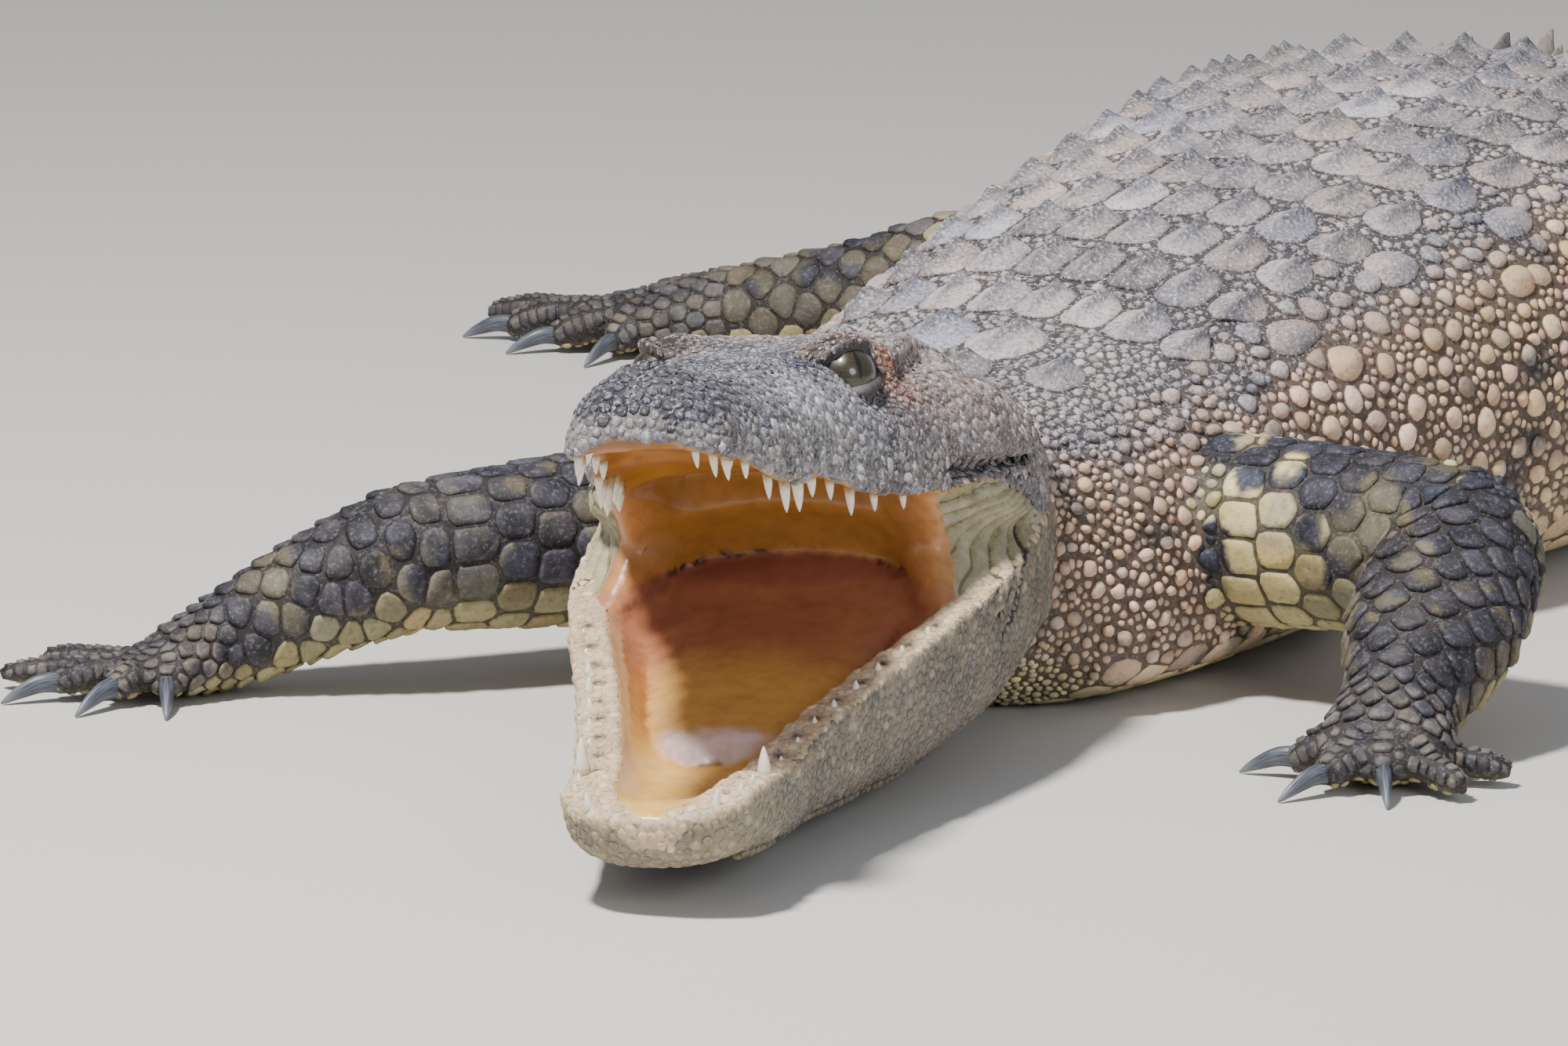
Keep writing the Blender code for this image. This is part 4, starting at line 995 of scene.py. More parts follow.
# Limbs: large squares on the upper lengths, broad overlapping bands on the lower ones and on the toes.
for limb, joints in LIMBS.items():
    part = PARTS.index(limb)
    places = [np.array(j[0]) - LAYOUT for j in joints]
    curve = curve_through(places)
    marks = [curve[1][CURVE_STEPS * k] for k in range(len(places))]
    sizes = [(m, j[1] - LIMB_COAT, j[2] - LIMB_COAT) for m, j in zip(marks, joints)]
    s, row = marks[0] + 0.02, 0
    elbow, wrist, end = marks[2], marks[4], marks[-1]  # or knee, heel and end
    while s < end - 0.004:
        lower = s > elbow - 0.02
        pitch = 0.0300 if s < elbow - 0.03 else 0.0185 if s < wrist else 0.0125
        if part >= FIRST_HIND_LIMB and lower:
            pitch *= 1.15
        spot, along = on_curve(curve, np.array([s]))
        wide, thick = eased(sizes, s)
        flat, rise = level_and_up(along[0])
        girth = math.pi * (3 * (wide + thick) - math.sqrt((3 * wide + thick) * (wide + 3 * thick)))
        width = 0.030 if not lower else 0.036 if s < wrist else 0.018
        count = max(int(round(girth / width)), 6)
        turns = (np.arange(count) + 0.5 * (row % 2)) * (2 * math.pi / count) + math.pi / 2
        ring = spot + flat * (wide * np.cos(turns))[:, None] + rise * (thick * np.sin(turns))[:, None]
        ring[:, 2] = np.maximum(ring[:, 2], SOLE)
        share = 3 * s / end if s < elbow else 1 + (s - elbow) / (end - elbow)
        at = np.column_stack([np.full(count, share), turns % (2 * math.pi)])
        lay(ring, np.broadcast_to(along[0], (count, 3)), pitch * 0.60, girth / count * 0.60,
            "band" if lower else "square", part, at, reach=0.020)
        # The elbow's and heel's fringe: a single row of upright flaps down the hind edge.
        if lower and s < wrist:
            edge = math.pi if limb.endswith("right") else 0.0
            fringe = spot + flat * wide * math.cos(edge)
            lay(fringe, along, pitch * 0.62, 0.0055, "fringe", part, [[share, edge]], reach=0.02)
        s += pitch
        row += 1
for (limb, _), (curve, _, girth, _) in toe_lines.items():
    part = PARTS.index(limb)
    length = curve[1][-1]
    for s in np.arange(length * 0.30, length * 0.97, 0.0092):
        spot, along = on_curve(curve, np.array([s]))
        flat, rise = level_and_up(along[0])
        size = girth * (1 - 0.35 * (s / length) ** 2)
        turns = np.radians((20, 90, 160))
        ring = spot + (flat * np.cos(turns)[:, None] + rise * np.sin(turns)[:, None]) * size
        at = np.column_stack([np.full(3, 2 + s / length), turns])
        lay(ring, np.broadcast_to(along[0], (3, 3)), 0.0050, size * 0.60, "toe", part, at, reach=0.008)
laid = {key: np.concatenate(values) for key, values in tiles.items()}


def tree_of(places):
    """A search tree of places, each under its own number."""
    tree = KDTree(len(places))
    for index, place in enumerate(places.tolist()):
        tree.insert(place, index)
    tree.balance()
    return tree


# Where two rows meet, a scale whose middle falls on an earlier scale is left out.
laid_tree = tree_of(laid["place"])
wanted = np.ones(len(laid["place"]), bool)
set_side = np.cross(laid["normal"], laid["along"])
for index in range(len(wanted)):
    if wanted[index]:
        here, long, wide = laid["place"][index], laid["long"][index], laid["wide"][index]
        for spot, other, _ in laid_tree.find_range(here, max(long, wide) * 1.2):
            away = np.array(spot) - here
            x, y = away @ laid["along"][index], away @ set_side[index]
            if other > index and (x / long) ** 2 + (y / wide) ** 2 < 1.1:
                wanted[other] = False
laid = {key: values[wanted] for key, values in laid.items()}
set_count = len(laid["place"])


# Between the set plates the hide is filled with round pebbles and fine grains, packed by throwing darts.
centre_of_face = points[corner].mean(1)
face_part, face_at = skin_part[corner[:, 0]], skin_at[corner[:, 0]]
face_wet = wet[corner].max(1)
sides_a = points[corner[:, 1]] - points[corner[:, 0]]
sides_b = points[corner[:, 2]] - points[corner[:, 0]]
face_area = np.linalg.norm(np.cross(sides_a, sides_b), axis=1) / 2


def eye_distance(places):
    """How far places are from the middle of the nearer eyeball."""
    on_head = jaw_place(places, SKULL_AXES)
    return np.min([np.linalg.norm(on_head - spot, axis=1) for spot in eye_spots], axis=0)


def fill_sizes(places, part, at):
    """The radius of the fine grains at places, and that of the round pebbles set among them (0 for none)."""
    u, height = at[:, 0], np.sin(at[:, 1])
    patch = grain(places, 0.05, 21)
    small, large = np.full(len(places), 0.0042), np.zeros(len(places))
    body = part == BODY_PART
    flank = body * ramp(height, 0.86, 0.70) * ramp(height, -0.62, -0.45)
    large = np.where(flank > 0.4, 0.0092 * (1 + 0.25 * patch) * (0.62 + 0.38 * ramp(u, 0.10, 0.45)), large)
    small = np.where(body, 0.0044 - 0.0008 * ramp(u, 0.25, 0.0), small)
    small = np.where(body & (u > 1.5), 0.0052, small)
    large = np.where(body & (u > 1.5), 0, large)
    limb = part >= FIRST_LIMB
    small = np.where(limb, 0.0046, small)
    large = np.where(limb & (u < 1.0), 0.0085, large)
    skull = 0.0040 + 0.0012 * patch + 0.0012 * ramp(u, 0.30, 0.10)
    skull = np.where(eye_distance(places) < 0.055, 0.0030, skull)
    small = np.where(part == SKULL_PART, skull, small)
    small = np.where(part == JAW_PART, 0.0036 + 0.0006 * patch, small)
    small = np.where(part == WEB, 0.0030, small)
    return small, large


small, large = fill_sizes(centre_of_face, face_part, face_at)
bare = ((face_wet > 0.4) | (eye_distance(centre_of_face) < EYE_RADIUS * 1.22)
        | (face_part == WEB) & in_web(centre_of_face) | np.isin(face_part, IN_MOUTH))
weight = np.where(bare, 0, face_area / small ** 2)
chosen = rng.choice(len(weight), int(weight.sum() * 1.5), p=weight / weight.sum())
a, b = rng.random(len(chosen)), rng.random(len(chosen))
a, b = np.where(a + b > 1, 1 - a, a), np.where(a + b > 1, 1 - b, b)
dart_place = points[corner[chosen, 0]] + sides_a[chosen] * a[:, None] + sides_b[chosen] * b[:, None]
dart_small, dart_large = small[chosen], large[chosen]
is_large = (dart_large > 0) & (rng.random(len(chosen)) < 0.30)
dart_size = np.where(is_large, dart_large * rng.uniform(0.62, 1.30, len(chosen)),
                     dart_small * rng.uniform(0.75, 1.30, len(chosen)))
order = np.lexsort((rng.random(len(chosen)), ~is_large))
darts = tree_of(dart_place)
alive = np.ones(len(chosen), bool)
set_side = np.cross(laid["normal"], laid["along"])
for index in range(set_count):
    here, long, wide = laid["place"][index], laid["long"][index], laid["wide"][index]
    found = [f[1] for f in darts.find_range(here, max(long, wide) * 1.45 + 0.004)]
    if found:
        away = dart_place[found] - here
        x, y = away @ laid["along"][index], away @ set_side[index]
        spare = dart_small[found] * 0.8
        away = (np.abs(x) / (long + spare)) ** 3 + (np.abs(y) / (wide + spare)) ** 3
        alive[np.array(found)[away < 1]] = False
kept = []
sizes, bulky = dart_size.tolist(), is_large.tolist()
live = alive.tolist()
for index in order.tolist():
    if live[index]:
        kept.append(index)
        size = sizes[index]
        room = size * (2.5 if bulky[index] else 1.75)
        for _, other, distance in darts.find_range(dart_place[index], room):
            if bulky[index]:
                gap = size * 2.5 if bulky[other] else size + sizes[other] * 0.8
            else:
                gap = (size + sizes[other]) * 0.86
            if distance < gap:
                live[other] = False
kept = np.array(kept)
kept_face = chosen[kept]
kept_normal = unit(smooth_normals[corner[kept_face]].mean(1))
kept_part, kept_at, kept_size = face_part[kept_face], face_at[kept_face], dart_size[kept]
_, lie = on_curve(BACK_LINE, np.clip(kept_at[:, 0], 0, TAIL_TIP))
lie = np.column_stack([lie, np.zeros(len(lie))])
lie = np.where((kept_part >= FIRST_LIMB)[:, None], (0, 0, -1.0), lie)
lie = np.where(np.isin(kept_part, [SKULL_PART, JAW_PART, WEB])[:, None], -SKULL_AXES[0], lie)
lie = lie + 0.45 * rng.normal(0, 1, lie.shape)
lie = unit(lie - kept_normal * (lie * kept_normal).sum(1, keepdims=True))
on_bone = np.isin(kept_part, [SKULL_PART, JAW_PART])
kind = np.where(on_bone, KIND_NAMES.index("rough"), KIND_NAMES.index("grain"))
kind = np.where(is_large[kept], KIND_NAMES.index("pebble"), kind)
stretch = np.where(is_large[kept], rng.uniform(0.95, 1.25, len(kept)), 1.0)
filled = {"place": dart_place[kept], "normal": kept_normal, "along": lie, "long": kept_size * stretch,
          "wide": kept_size / stretch, "kind": kind, "part": kept_part, "at": kept_at}
scales = {key: np.concatenate([laid[key], filled[key]]) for key in laid}
count = len(scales["place"])

# Each scale's outline runs half way to its neighbours, each weighed by its size, less half a groove.
place, normal, along = scales["place"], scales["normal"], scales["along"]
across = np.cross(normal, along)
traits = np.array([KINDS[name][:5] for name in KIND_NAMES])[scales["kind"]]
dome, keel, lift, groove, square = traits.T
caps = np.array([KINDS[name][5] for name in KIND_NAMES])[scales["kind"]]
caps = np.where((caps == "small") & (np.maximum(scales["long"], scales["wide"]) < 0.0062), "tiny", caps)
crest_depth = eased(COAT, np.clip(scales["at"][:, 0], 0, TAIL_TIP))[:, 1]
is_body = scales["part"] == BODY_PART
is_crest = scales["kind"] == KIND_NAMES.index("crest")
is_rough = scales["kind"] == KIND_NAMES.index("rough")
dome = np.where((scales["part"] == JAW_PART) & is_rough, dome * 0.6, dome)
keel = np.where(is_body & (keel > 0), keel * np.clip(crest_depth / 0.012, 0.7, 1.6), keel)
keel = np.where(is_crest, np.maximum(crest_depth * 0.98, 0.012), keel)
near = tree_of(place)
NEIGHBOURS = 13
others = np.array([[f[1] for f in near.find_n(spot, NEIGHBOURS)][1:] for spot in place.tolist()])


def own_reach(index, cosine, sine):
    """How far a scale would reach toward a direction in its own plane."""
    power = square[index]
    return (1e-6 + (np.abs(cosine) / scales["long"][index]) ** power
            + (np.abs(sine) / scales["wide"][index]) ** power) ** (-1 / power)


away = place[others] - place[:, None]
x, y = (away * along[:, None]).sum(2), (away * across[:, None]).sum(2)
distance = np.maximum(np.linalg.norm(away, axis=2), 1e-5)
flat = np.maximum(np.hypot(x, y), 1e-6)
mine = own_reach(np.arange(count)[:, None], x / flat, y / flat)
their_x, their_y = (away * along[others]).sum(2), (away * across[others]).sum(2)
their_flat = np.maximum(np.hypot(their_x, their_y), 1e-6)
theirs = own_reach(others, their_x / their_flat, their_y / their_flat)
limit = distance * mine / (mine + theirs) - (groove[:, None] + groove[others]) / 4
limit = np.maximum(limit, 0.0006)
facing = np.arctan2(y, x)

# A cap's spokes, and where its rings lie from the middle out.
CAPS = {
    "tiny": (8, (0.62, 1.0)),
    "small": (12, (0.50, 0.82, 1.0)),
    "middle": (18, (0.30, 0.55, 0.76, 0.92, 1.0)),
    "large": (32, (0.13, 0.26, 0.39, 0.52, 0.65, 0.77, 0.87, 0.95, 1.0)),
}


def cap_faces(spokes, rings, start):
    """Faces of one closed cap whose points begin at start: the tip, then each ring, and one face below."""
    faces = [(start, start + 1 + k, start + 1 + (k + 1) % spokes) for k in range(spokes)]
    for ring in range(rings - 1):
        low, high = start + 1 + ring * spokes, start + 1 + (ring + 1) * spokes
        for k in range(spokes):
            n = (k + 1) % spokes
            faces.append((low + k, high + k, high + n, low + n))
    last = start + 1 + (rings - 1) * spokes
    faces.append(tuple(last + k for k in reversed(range(spokes))))
    return faces


def grown(chosen, cap):
    """Points of the chosen scales, in rows of one cap each, with their tone, place on the cap and shadow."""
    spokes, rings = CAPS[cap]
    turn = turns_round(spokes)
    cosine, sine = np.cos(turn), np.sin(turn)
    toward = np.maximum(np.cos(turn[None, None] - facing[chosen][:, :, None]), 0)
    tight = np.where(square[chosen] > 4, 18.0, 9.0)[:, None]
    pull = (toward / limit[chosen][:, :, None]) ** tight[..., None]
    loose = np.isin(scales["kind"][chosen], [KIND_NAMES.index(k) for k in ("pebble", "grain", "rough")])
    own = own_reach(chosen[:, None], cosine[None], sine[None]) * np.where(loose, 1.28, 1.15)[:, None]
    tiled = is_rough[chosen]
    own = own * np.where(tiled, 1.3, 1.0)[:, None]
    reach = (pull.sum(1) + (1 / own) ** tight) ** (-1 / tight)
    share = np.concatenate([[0], np.repeat(rings, spokes)])
    x, y = (np.concatenate([np.zeros((len(chosen), 1))] + [reach * swing * r for r in rings], 1)
            for swing in (cosine, sine))
    long, wide = scales["long"][chosen][:, None], scales["wide"][chosen][:, None]
    px, py = x / long, y / wide
    flatness = np.where(square[chosen] > 3, 7.0, 2.6)[:, None]
    body = np.maximum(1 - share[None] ** flatness, 0) ** 0.8
    size = np.minimum(reach.mean(1) / np.sqrt(long[:, 0] * wide[:, 0]), 1.2)[:, None]
    height = dome[chosen][:, None] * size * body
    # The keel rises toward the rear of a plate and falls off sharply behind.
    crest = is_crest[chosen][:, None]
    spine = np.clip(1 - np.abs(py) * np.where(crest, 0.95, 1.35), 0, 1)
    spine = np.where(crest, spine, spine ** 1.5)
    slope = 0.45 + 0.55 * ramp(px, -0.9, 0.45)
    keeled = keel[chosen][:, None] * spine * slope * (1 - ramp(px, 0.55, 0.98)) * ramp(px, -1.05, -0.60)
    height = height + keeled * (share[None] < 1)
    height = height + lift[chosen][:, None] * np.clip(px, -0.5, 1) * body
    low = share[None] >= 1
    height = np.where(low, np.where(tiled, -0.0003, -SINK)[:, None], height)
    spots = (place[chosen][:, None] + along[chosen][:, None] * x[..., None]
             + across[chosen][:, None] * y[..., None])
    based = landed(spots.reshape(-1, 3))[0].reshape(spots.shape)
    gap = np.linalg.norm(based - spots, axis=2, keepdims=True)
    size_here = np.broadcast_to(np.maximum(long, wide), height.shape)
    based = np.where(gap < (0.6 * size_here + 0.003)[..., None], based, spots)
    flat_based = based.reshape(-1, 3)
    uneven = 0.10 * grain(flat_based, 0.006, 31) + 0.10 * grain(flat_based, 0.0028, 32)
    uneven = uneven.reshape(height.shape) * np.clip(dome[chosen][:, None] * 2.2, 0.0012, 0.006)
    height = height + uneven * (share[None] < 1)
    lean = np.where(crest, 0.35 * np.clip(height, 0, 1), 0)
    finished = based + normal[chosen][:, None] * height[..., None] + along[chosen][:, None] * lean[..., None]
    if cap in ("middle", "large"):
        # Where a bulge of the skin would stand through a wide plate, the plate is lifted clear of it.
        hoops = finished[:, 1:].reshape(len(chosen), len(rings), spokes, 3)[:, :-1]
        between = 0.5 * (hoops[:, :-1] + hoops[:, 1:]).reshape(len(chosen), -1, 3)
        between = np.concatenate([0.5 * (finished[:, :1] + hoops[:, 0]), between], 1)
        met = [skin_tree.find_nearest(p)[:2] for p in between.reshape(-1, 3).tolist()]
        surface = np.array([m[0] for m in met]).reshape(between.shape)
        outward = np.array([m[1] for m in met]).reshape(between.shape)
        clear = ((between - surface) * outward).sum(2)
        raised = np.clip(0.0008 - clear, 0, 0.006).max(1)
        finished = finished + normal[chosen][:, None] * (raised[:, None] * (share < 1))[..., None]
    finished[..., 2] = np.maximum(finished[..., 2], 0.0006)
    rise = np.where(low, 0.0, 0.35 + 0.65 * np.clip(body, 0, 1))
    rise = np.where(tiled[:, None], 0.62 + 0.33 * rise, rise)
    shadow = np.clip(keeled / 0.010, 0, 1) * ~crest
    return finished, rise, np.stack([px, py], -1), shadow


chart_low = np.array([skin_at[skin_part == part].min(0) for part in range(len(PARTS))])
chart_high = np.array([skin_at[skin_part == part].max(0) for part in range(len(PARTS))])
CHART_TILES = (4.0, 3.0)  # across and up


def chart_place(part, at):
    """A place's spot on the flat chart of the skin, one tile for each of its tubes."""
    low, high = chart_low[part], chart_high[part]
    tile = np.column_stack([part % 4, part // 4]) / CHART_TILES
    return tile + (0.03 + 0.94 * np.clip((at - low) / (high - low), 0, 1)) / CHART_TILES


def fleck_of(part, at):
    """How strongly pale flecks of painted highlight mark the hide: most on the snout and along the back."""
    back = 0.75 * ramp(np.sin(at[:, 1]), 0.45, 0.80) * (1 - ramp(at[:, 0], 1.4, 2.0))
    snout = 1.0 - 0.35 * ramp(at[:, 0], 0.44, 0.53)
    return np.select([part == SKULL_PART, part == JAW_PART, part == BODY_PART, part >= FIRST_LIMB],
                     [snout, 0.22, 0.15 + back, 0.12], 0.0)


def mark(piece, name, values):
    """Stores one value with each of a piece's points, under a name."""
    made = piece.data.attributes.new(name, "FLOAT", "POINT")
    made.data.foreach_set("value", np.asarray(values, np.float32))


def paint(piece, tint, rise, fleck, spread=None):
    """Stores colour and relief with a piece's points, and its chart if it has one of its own."""
    mark(piece, "fleck", fleck)
    colours = piece.data.attributes.new("tint", "FLOAT_COLOR", "POINT")
    colours.data.foreach_set("color", np.column_stack([tint, np.ones(len(tint))]).astype(np.float32).ravel())
    mark(piece, "rise", rise)
    if spread is not None:
        loops = np.empty(len(piece.data.loops), np.int32)
        piece.data.loops.foreach_get("vertex_index", loops)
        chart = piece.data.uv_layers.new(name="OFBake")
        chart.data.foreach_set("uv", np.asarray(spread, np.float32)[loops].ravel())


tone = rng.normal(0, 1, count)
warm = rng.normal(0, 1, count)
REGIONS = {
    "neck_scales": is_body & (scales["at"][:, 0] < 0.42),
    "shoulder_scales": is_body & (scales["at"][:, 0] >= 0.42) & (scales["at"][:, 0] < 0.95),
    "trunk_scales": is_body & (scales["at"][:, 0] >= 0.95) & (scales["at"][:, 0] < 1.55),
    "tail_scales": is_body & (scales["at"][:, 0] >= 1.55),
    "head_scales": scales["part"] == SKULL_PART,
    "jaw_scales": np.isin(scales["part"], [JAW_PART, WEB]),
    "front_limb_scales": (scales["part"] >= FIRST_LIMB) & (scales["part"] < FIRST_HIND_LIMB),
    "hind_limb_scales": scales["part"] >= FIRST_HIND_LIMB,
}
coat = {}
for name, member in REGIONS.items():
    all_faces, rows, start = [], [], 0
    for cap, (spokes, rings) in CAPS.items():
        chosen = np.nonzero(member & (caps == cap))[0]
        if not len(chosen):
            continue
        shape, rise, spot, keel_shade = grown(chosen, cap)
        per = 1 + spokes * len(rings)
        flat = shape.reshape(-1, 3)
        owner = np.repeat(chosen, per)
        part, at = scales["part"][owner], scales["at"][owner]
        # Painted shade on the keels: dark blue-grey wherever a keel stands high.
        tint = mixed(markings(flat, part, at), "#474858", 0.82 * ramp(keel_shade.ravel(), 0.18, 0.70))
        # No two scales are quite the same tone.
        contrast = np.where(part == SKULL_PART, 0.32, 0.17)
        tint = tint * np.exp(contrast * tone[owner])[:, None]
        tint = tint * np.exp(np.outer(warm[owner], (0.04, 0.0, -0.06)))
        # Limb plates get less of the pale crowns of wear and painted highlight, so they keep their dark
        # colour to the crown.
        rise = rise.ravel() * np.where(part >= FIRST_LIMB, 0.80, 1.0)
        chart = chart_place(part, at) + np.clip(spot.reshape(-1, 2), -1.3, 1.3) * 0.0012
        rows.append((flat, tint, rise, fleck_of(part, at), chart))
        for index in range(len(chosen)):
            all_faces += cap_faces(spokes, len(rings), start + index * per)
        start += len(flat)
    all_points, *painted = (np.concatenate(column) for column in zip(*rows))
    piece = new_object(name, all_points, all_faces)
    piece.data.shade_smooth()
    paint(piece, *painted)
    coat[name] = piece

# Bare skin shows in the mouth, at the lids and on the cheeks' webs, whose creases and slits get painted
# shade. The skin between the scales gets the painted shade of the grooves.
lid_skin = eye_distance(points) < EYE_RADIUS * 1.45
skin_rise = np.where((wet > 0.5) | (skin_part == WEB), 1.0, 0.12)
skin_rise = np.where((skin_part == SKULL_PART) | (skin_part == JAW_PART), 0.6, skin_rise)
skin_rise = np.where(skin_part == BODY_PART, 0.16, skin_rise)
skin_rise = skin_rise - fold_zone * 0.75 * (1 - ramp(pleat_top, 0.25, 0.75)) - 0.95 * slit_shade * (1 - wet)
paint(skin, markings(points, skin_part, skin_at), np.maximum(skin_rise, 0),
      np.where(lid_skin, 0.0, fleck_of(skin_part, skin_at)))


# --- Hide ------------------------------------------------------------------------------------------------
# Dry weathered hide: the scales' own colours, with painted shade in the grooves, tops paler from wear and
# painted highlight, and fine wrinkles; inside the mouth the same skin is wet and shines.


def add_node(tree, kind, **given):
    """Adds a node. What is given sets the setting of that name, or an input: its name, or i and its number.

    An input takes a value, an sRGB hex value, another node's output, or a node, for its first output in use.
    """
    node = tree.nodes.new("ShaderNode" + kind)
    for key, value in given.items():
        if hasattr(node, key):
            setattr(node, key, value)
            continue
        socket = node.inputs[int(key[1:]) if key[1:].isdigit() else key.replace("_", " ")]
        if isinstance(value, bpy.types.Node):
            value = next(output for output in value.outputs if output.enabled)
        if isinstance(value, bpy.types.NodeSocket):
            tree.links.new(value, socket)
        else:
            socket.default_value = (*srgb(value), 1.0) if isinstance(value, str) else value
    return node


def new_material(name):
    made = bpy.data.materials.new(name)
    made.use_nodes = True
    made.node_tree.nodes.clear()
    return made, made.node_tree


# Crocodile hide, dry and rough: a broad dull sheen, painted shade in the grooves, specks of dried mud, and
# pale crowns from wear and painted highlight.
# A noise's scale is in grains per metre: mud specks are about 6 mm across, pale specks of painted highlight
# 3 mm, the finest mottling 2 mm and stained patches 26 mm.
SMOOTH = {"interpolation_type": "SMOOTHSTEP"}  # a range that eases in and out
MIXED, MULTIPLIED = {"data_type": "RGBA"}, {"data_type": "RGBA", "blend_type": "MULTIPLY"}
hide, tree = new_material("crocodile_hide")
place = add_node(tree, "TexCoord").outputs["Object"]
tint = add_node(tree, "Attribute", attribute_name="tint").outputs["Color"]
rise = add_node(tree, "Attribute", attribute_name="rise").outputs["Fac"]
fleck = add_node(tree, "Attribute", attribute_name="fleck").outputs["Fac"]
speck = add_node(tree, "TexNoise", Vector=place, Scale=170.0, Detail=3.0, Roughness=0.6)
highlight_speckle = add_node(tree, "TexNoise", Vector=place, Scale=300.0, Detail=4.0, Roughness=0.68)
mottle = add_node(tree, "TexNoise", Vector=place, Scale=520.0, Detail=2.0, Roughness=0.55)
patch = add_node(tree, "TexNoise", Vector=place, Scale=38.0, Detail=3.0, Roughness=0.55)
# Grooves get painted shade, and crowns turn pale, from wear and painted highlight, where specks leave them
# bare.
groove = add_node(tree, "MapRange", **SMOOTH, Value=rise, From_Min=0.10, From_Max=0.50, To_Min=1.0,
                  To_Max=0.0)
groove = add_node(tree, "Math", operation="MULTIPLY", i0=groove, i1=0.88)
bare = add_node(tree, "Math", operation="MULTIPLY", i0=speck, i1=0.9)
bare = add_node(tree, "Math", operation="ADD", i0=rise, i1=bare)
wear_and_highlight = add_node(tree, "MapRange", **SMOOTH, Value=bare, From_Min=1.25, From_Max=1.75, To_Max=0.40)
shaded = add_node(tree, "Mix", **MIXED, i0=groove, i6=tint, i7="#241F20")
shaded = add_node(tree, "Mix", **MIXED, i0=wear_and_highlight, i6=shaded, i7="#D5D0CE")
for pattern, low, high, share, stain in ((speck, 0.52, 0.68, 0.45, "#9A948C"),
                                         (patch, 0.50, 0.72, 0.30, "#B9A98C")):
    where = add_node(tree, "MapRange", **SMOOTH, Value=pattern, From_Min=low, From_Max=high, To_Max=share)
    stained = add_node(tree, "Mix", **MULTIPLIED, i0=1.0, i6=shaded, i7=stain)
    shaded = add_node(tree, "Mix", **MIXED, i0=where, i6=shaded, i7=stained)
# Painted highlights as pale specks, on dark specks of painted shade, stand wherever the flecks are strong.
for low, high, share, colour in ((0.47, 0.36, 0.55, "#2E2D36"), (0.53, 0.64, 0.85, "#D3D2D6")):
    where = add_node(tree, "MapRange", **SMOOTH, Value=highlight_speckle, From_Min=low, From_Max=high, To_Max=share)
    where = add_node(tree, "Math", operation="MULTIPLY", i0=fleck, i1=where)
    shaded = add_node(tree, "Mix", **MIXED, i0=where, i6=shaded, i7=colour)
relief = add_node(tree, "Bump", Strength=0.55, Distance=0.0012, Height=speck)
ruggedness = add_node(tree, "Math", operation="MULTIPLY", i0=fleck, i1=0.9)
relief = add_node(tree, "Bump", Strength=ruggedness, Distance=0.0028, Height=highlight_speckle, Normal=relief)
relief = add_node(tree, "Bump", Strength=0.45, Distance=0.0005, Height=mottle, Normal=relief)
dull = add_node(tree, "MapRange", **SMOOTH, Value=speck, From_Min=0.3, From_Max=0.7, To_Min=0.52, To_Max=0.78)
shader = add_node(tree, "BsdfPrincipled", Base_Color=shaded, Normal=relief, Roughness=dull,
                  Specular_IOR_Level=0.42)
add_node(tree, "OutputMaterial", Surface=shader)

# The mouth's lining: soft wet tissue with a thin film of water, so that light gleams on every rounding. Its
# pores are about 4 mm apart, coarser than real ones so that they show, and its soft folds 13 mm.
lining, tree = new_material("mouth_lining")
place = add_node(tree, "TexCoord").outputs["Object"]
tint = add_node(tree, "Attribute", attribute_name="tint").outputs["Color"]
pores = add_node(tree, "TexNoise", Vector=place, Scale=260.0, Detail=2.5, Roughness=0.55)
folds = add_node(tree, "TexNoise", Vector=place, Scale=75.0, Detail=2.5, Roughness=0.55)
where = add_node(tree, "MapRange", **SMOOTH, Value=folds, From_Min=0.40, From_Max=0.70, To_Max=0.22)
darker = add_node(tree, "Mix", **MULTIPLIED, i0=1.0, i6=tint, i7="#A88A78")
shaded = add_node(tree, "Mix", **MIXED, i0=where, i6=tint, i7=darker)
relief = add_node(tree, "Bump", Strength=0.35, Distance=0.0016, Height=folds)
relief = add_node(tree, "Bump", Strength=0.35, Distance=0.0006, Height=pores, Normal=relief)
shader = add_node(tree, "BsdfPrincipled", Base_Color=shaded, Normal=relief, Roughness=0.34,
                  Specular_IOR_Level=0.5, Coat_Weight=0.30, Coat_Roughness=0.22)
add_node(tree, "OutputMaterial", Surface=shader)

skin.data.materials.append(hide)
skin.data.materials.append(lining)
face_wetness = wet[corner].mean(1) > 0.5
skin.data.polygons.foreach_set("material_index", face_wetness.astype(np.int32))
skin.data.shade_smooth()
for name, piece in coat.items():
    piece.data.materials.append(hide)
    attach(piece, "root")
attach(skin, "root")
limb_nodes = [f"{part}_{side}" for part in ("upper_arm", "forearm", "hand", "thigh", "shank", "foot")
              for side in ("left", "right")]
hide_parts("head", "lower_jaw", "throat", "tongue", "neck", "trunk_front", "trunk_rear", "tail_1",
            "tail_2", "tail_3", "tail_4", *limb_nodes)


# --- Teeth -----------------------------------------------------------------------------------------------
# Conical ivory teeth, worn and a little stained at the root, set in sockets along both jaws. Each is a curved
# cone whose root sits in the gum.
TOOTH_SPOKES, TOOTH_ROWS = 14, 9


def tooth_points(root, way, back, height, radius):
    """Rings of a tooth that starts at its root, points along way and curls toward back."""
    side = np.cross(way, back)
    rows = []
    for share in np.linspace(0, 1, TOOTH_ROWS):
        middle = root + way * height * share + back * height * 0.16 * share ** 2
        size = radius * (1 - share ** 1.9) ** 0.75 + 0.0003
        turns = turns_round(TOOTH_SPOKES)
        rows.append(middle + back * (size * np.cos(turns))[:, None]
                    + side * (size * 0.88 * np.sin(turns))[:, None])
    return np.array(rows)


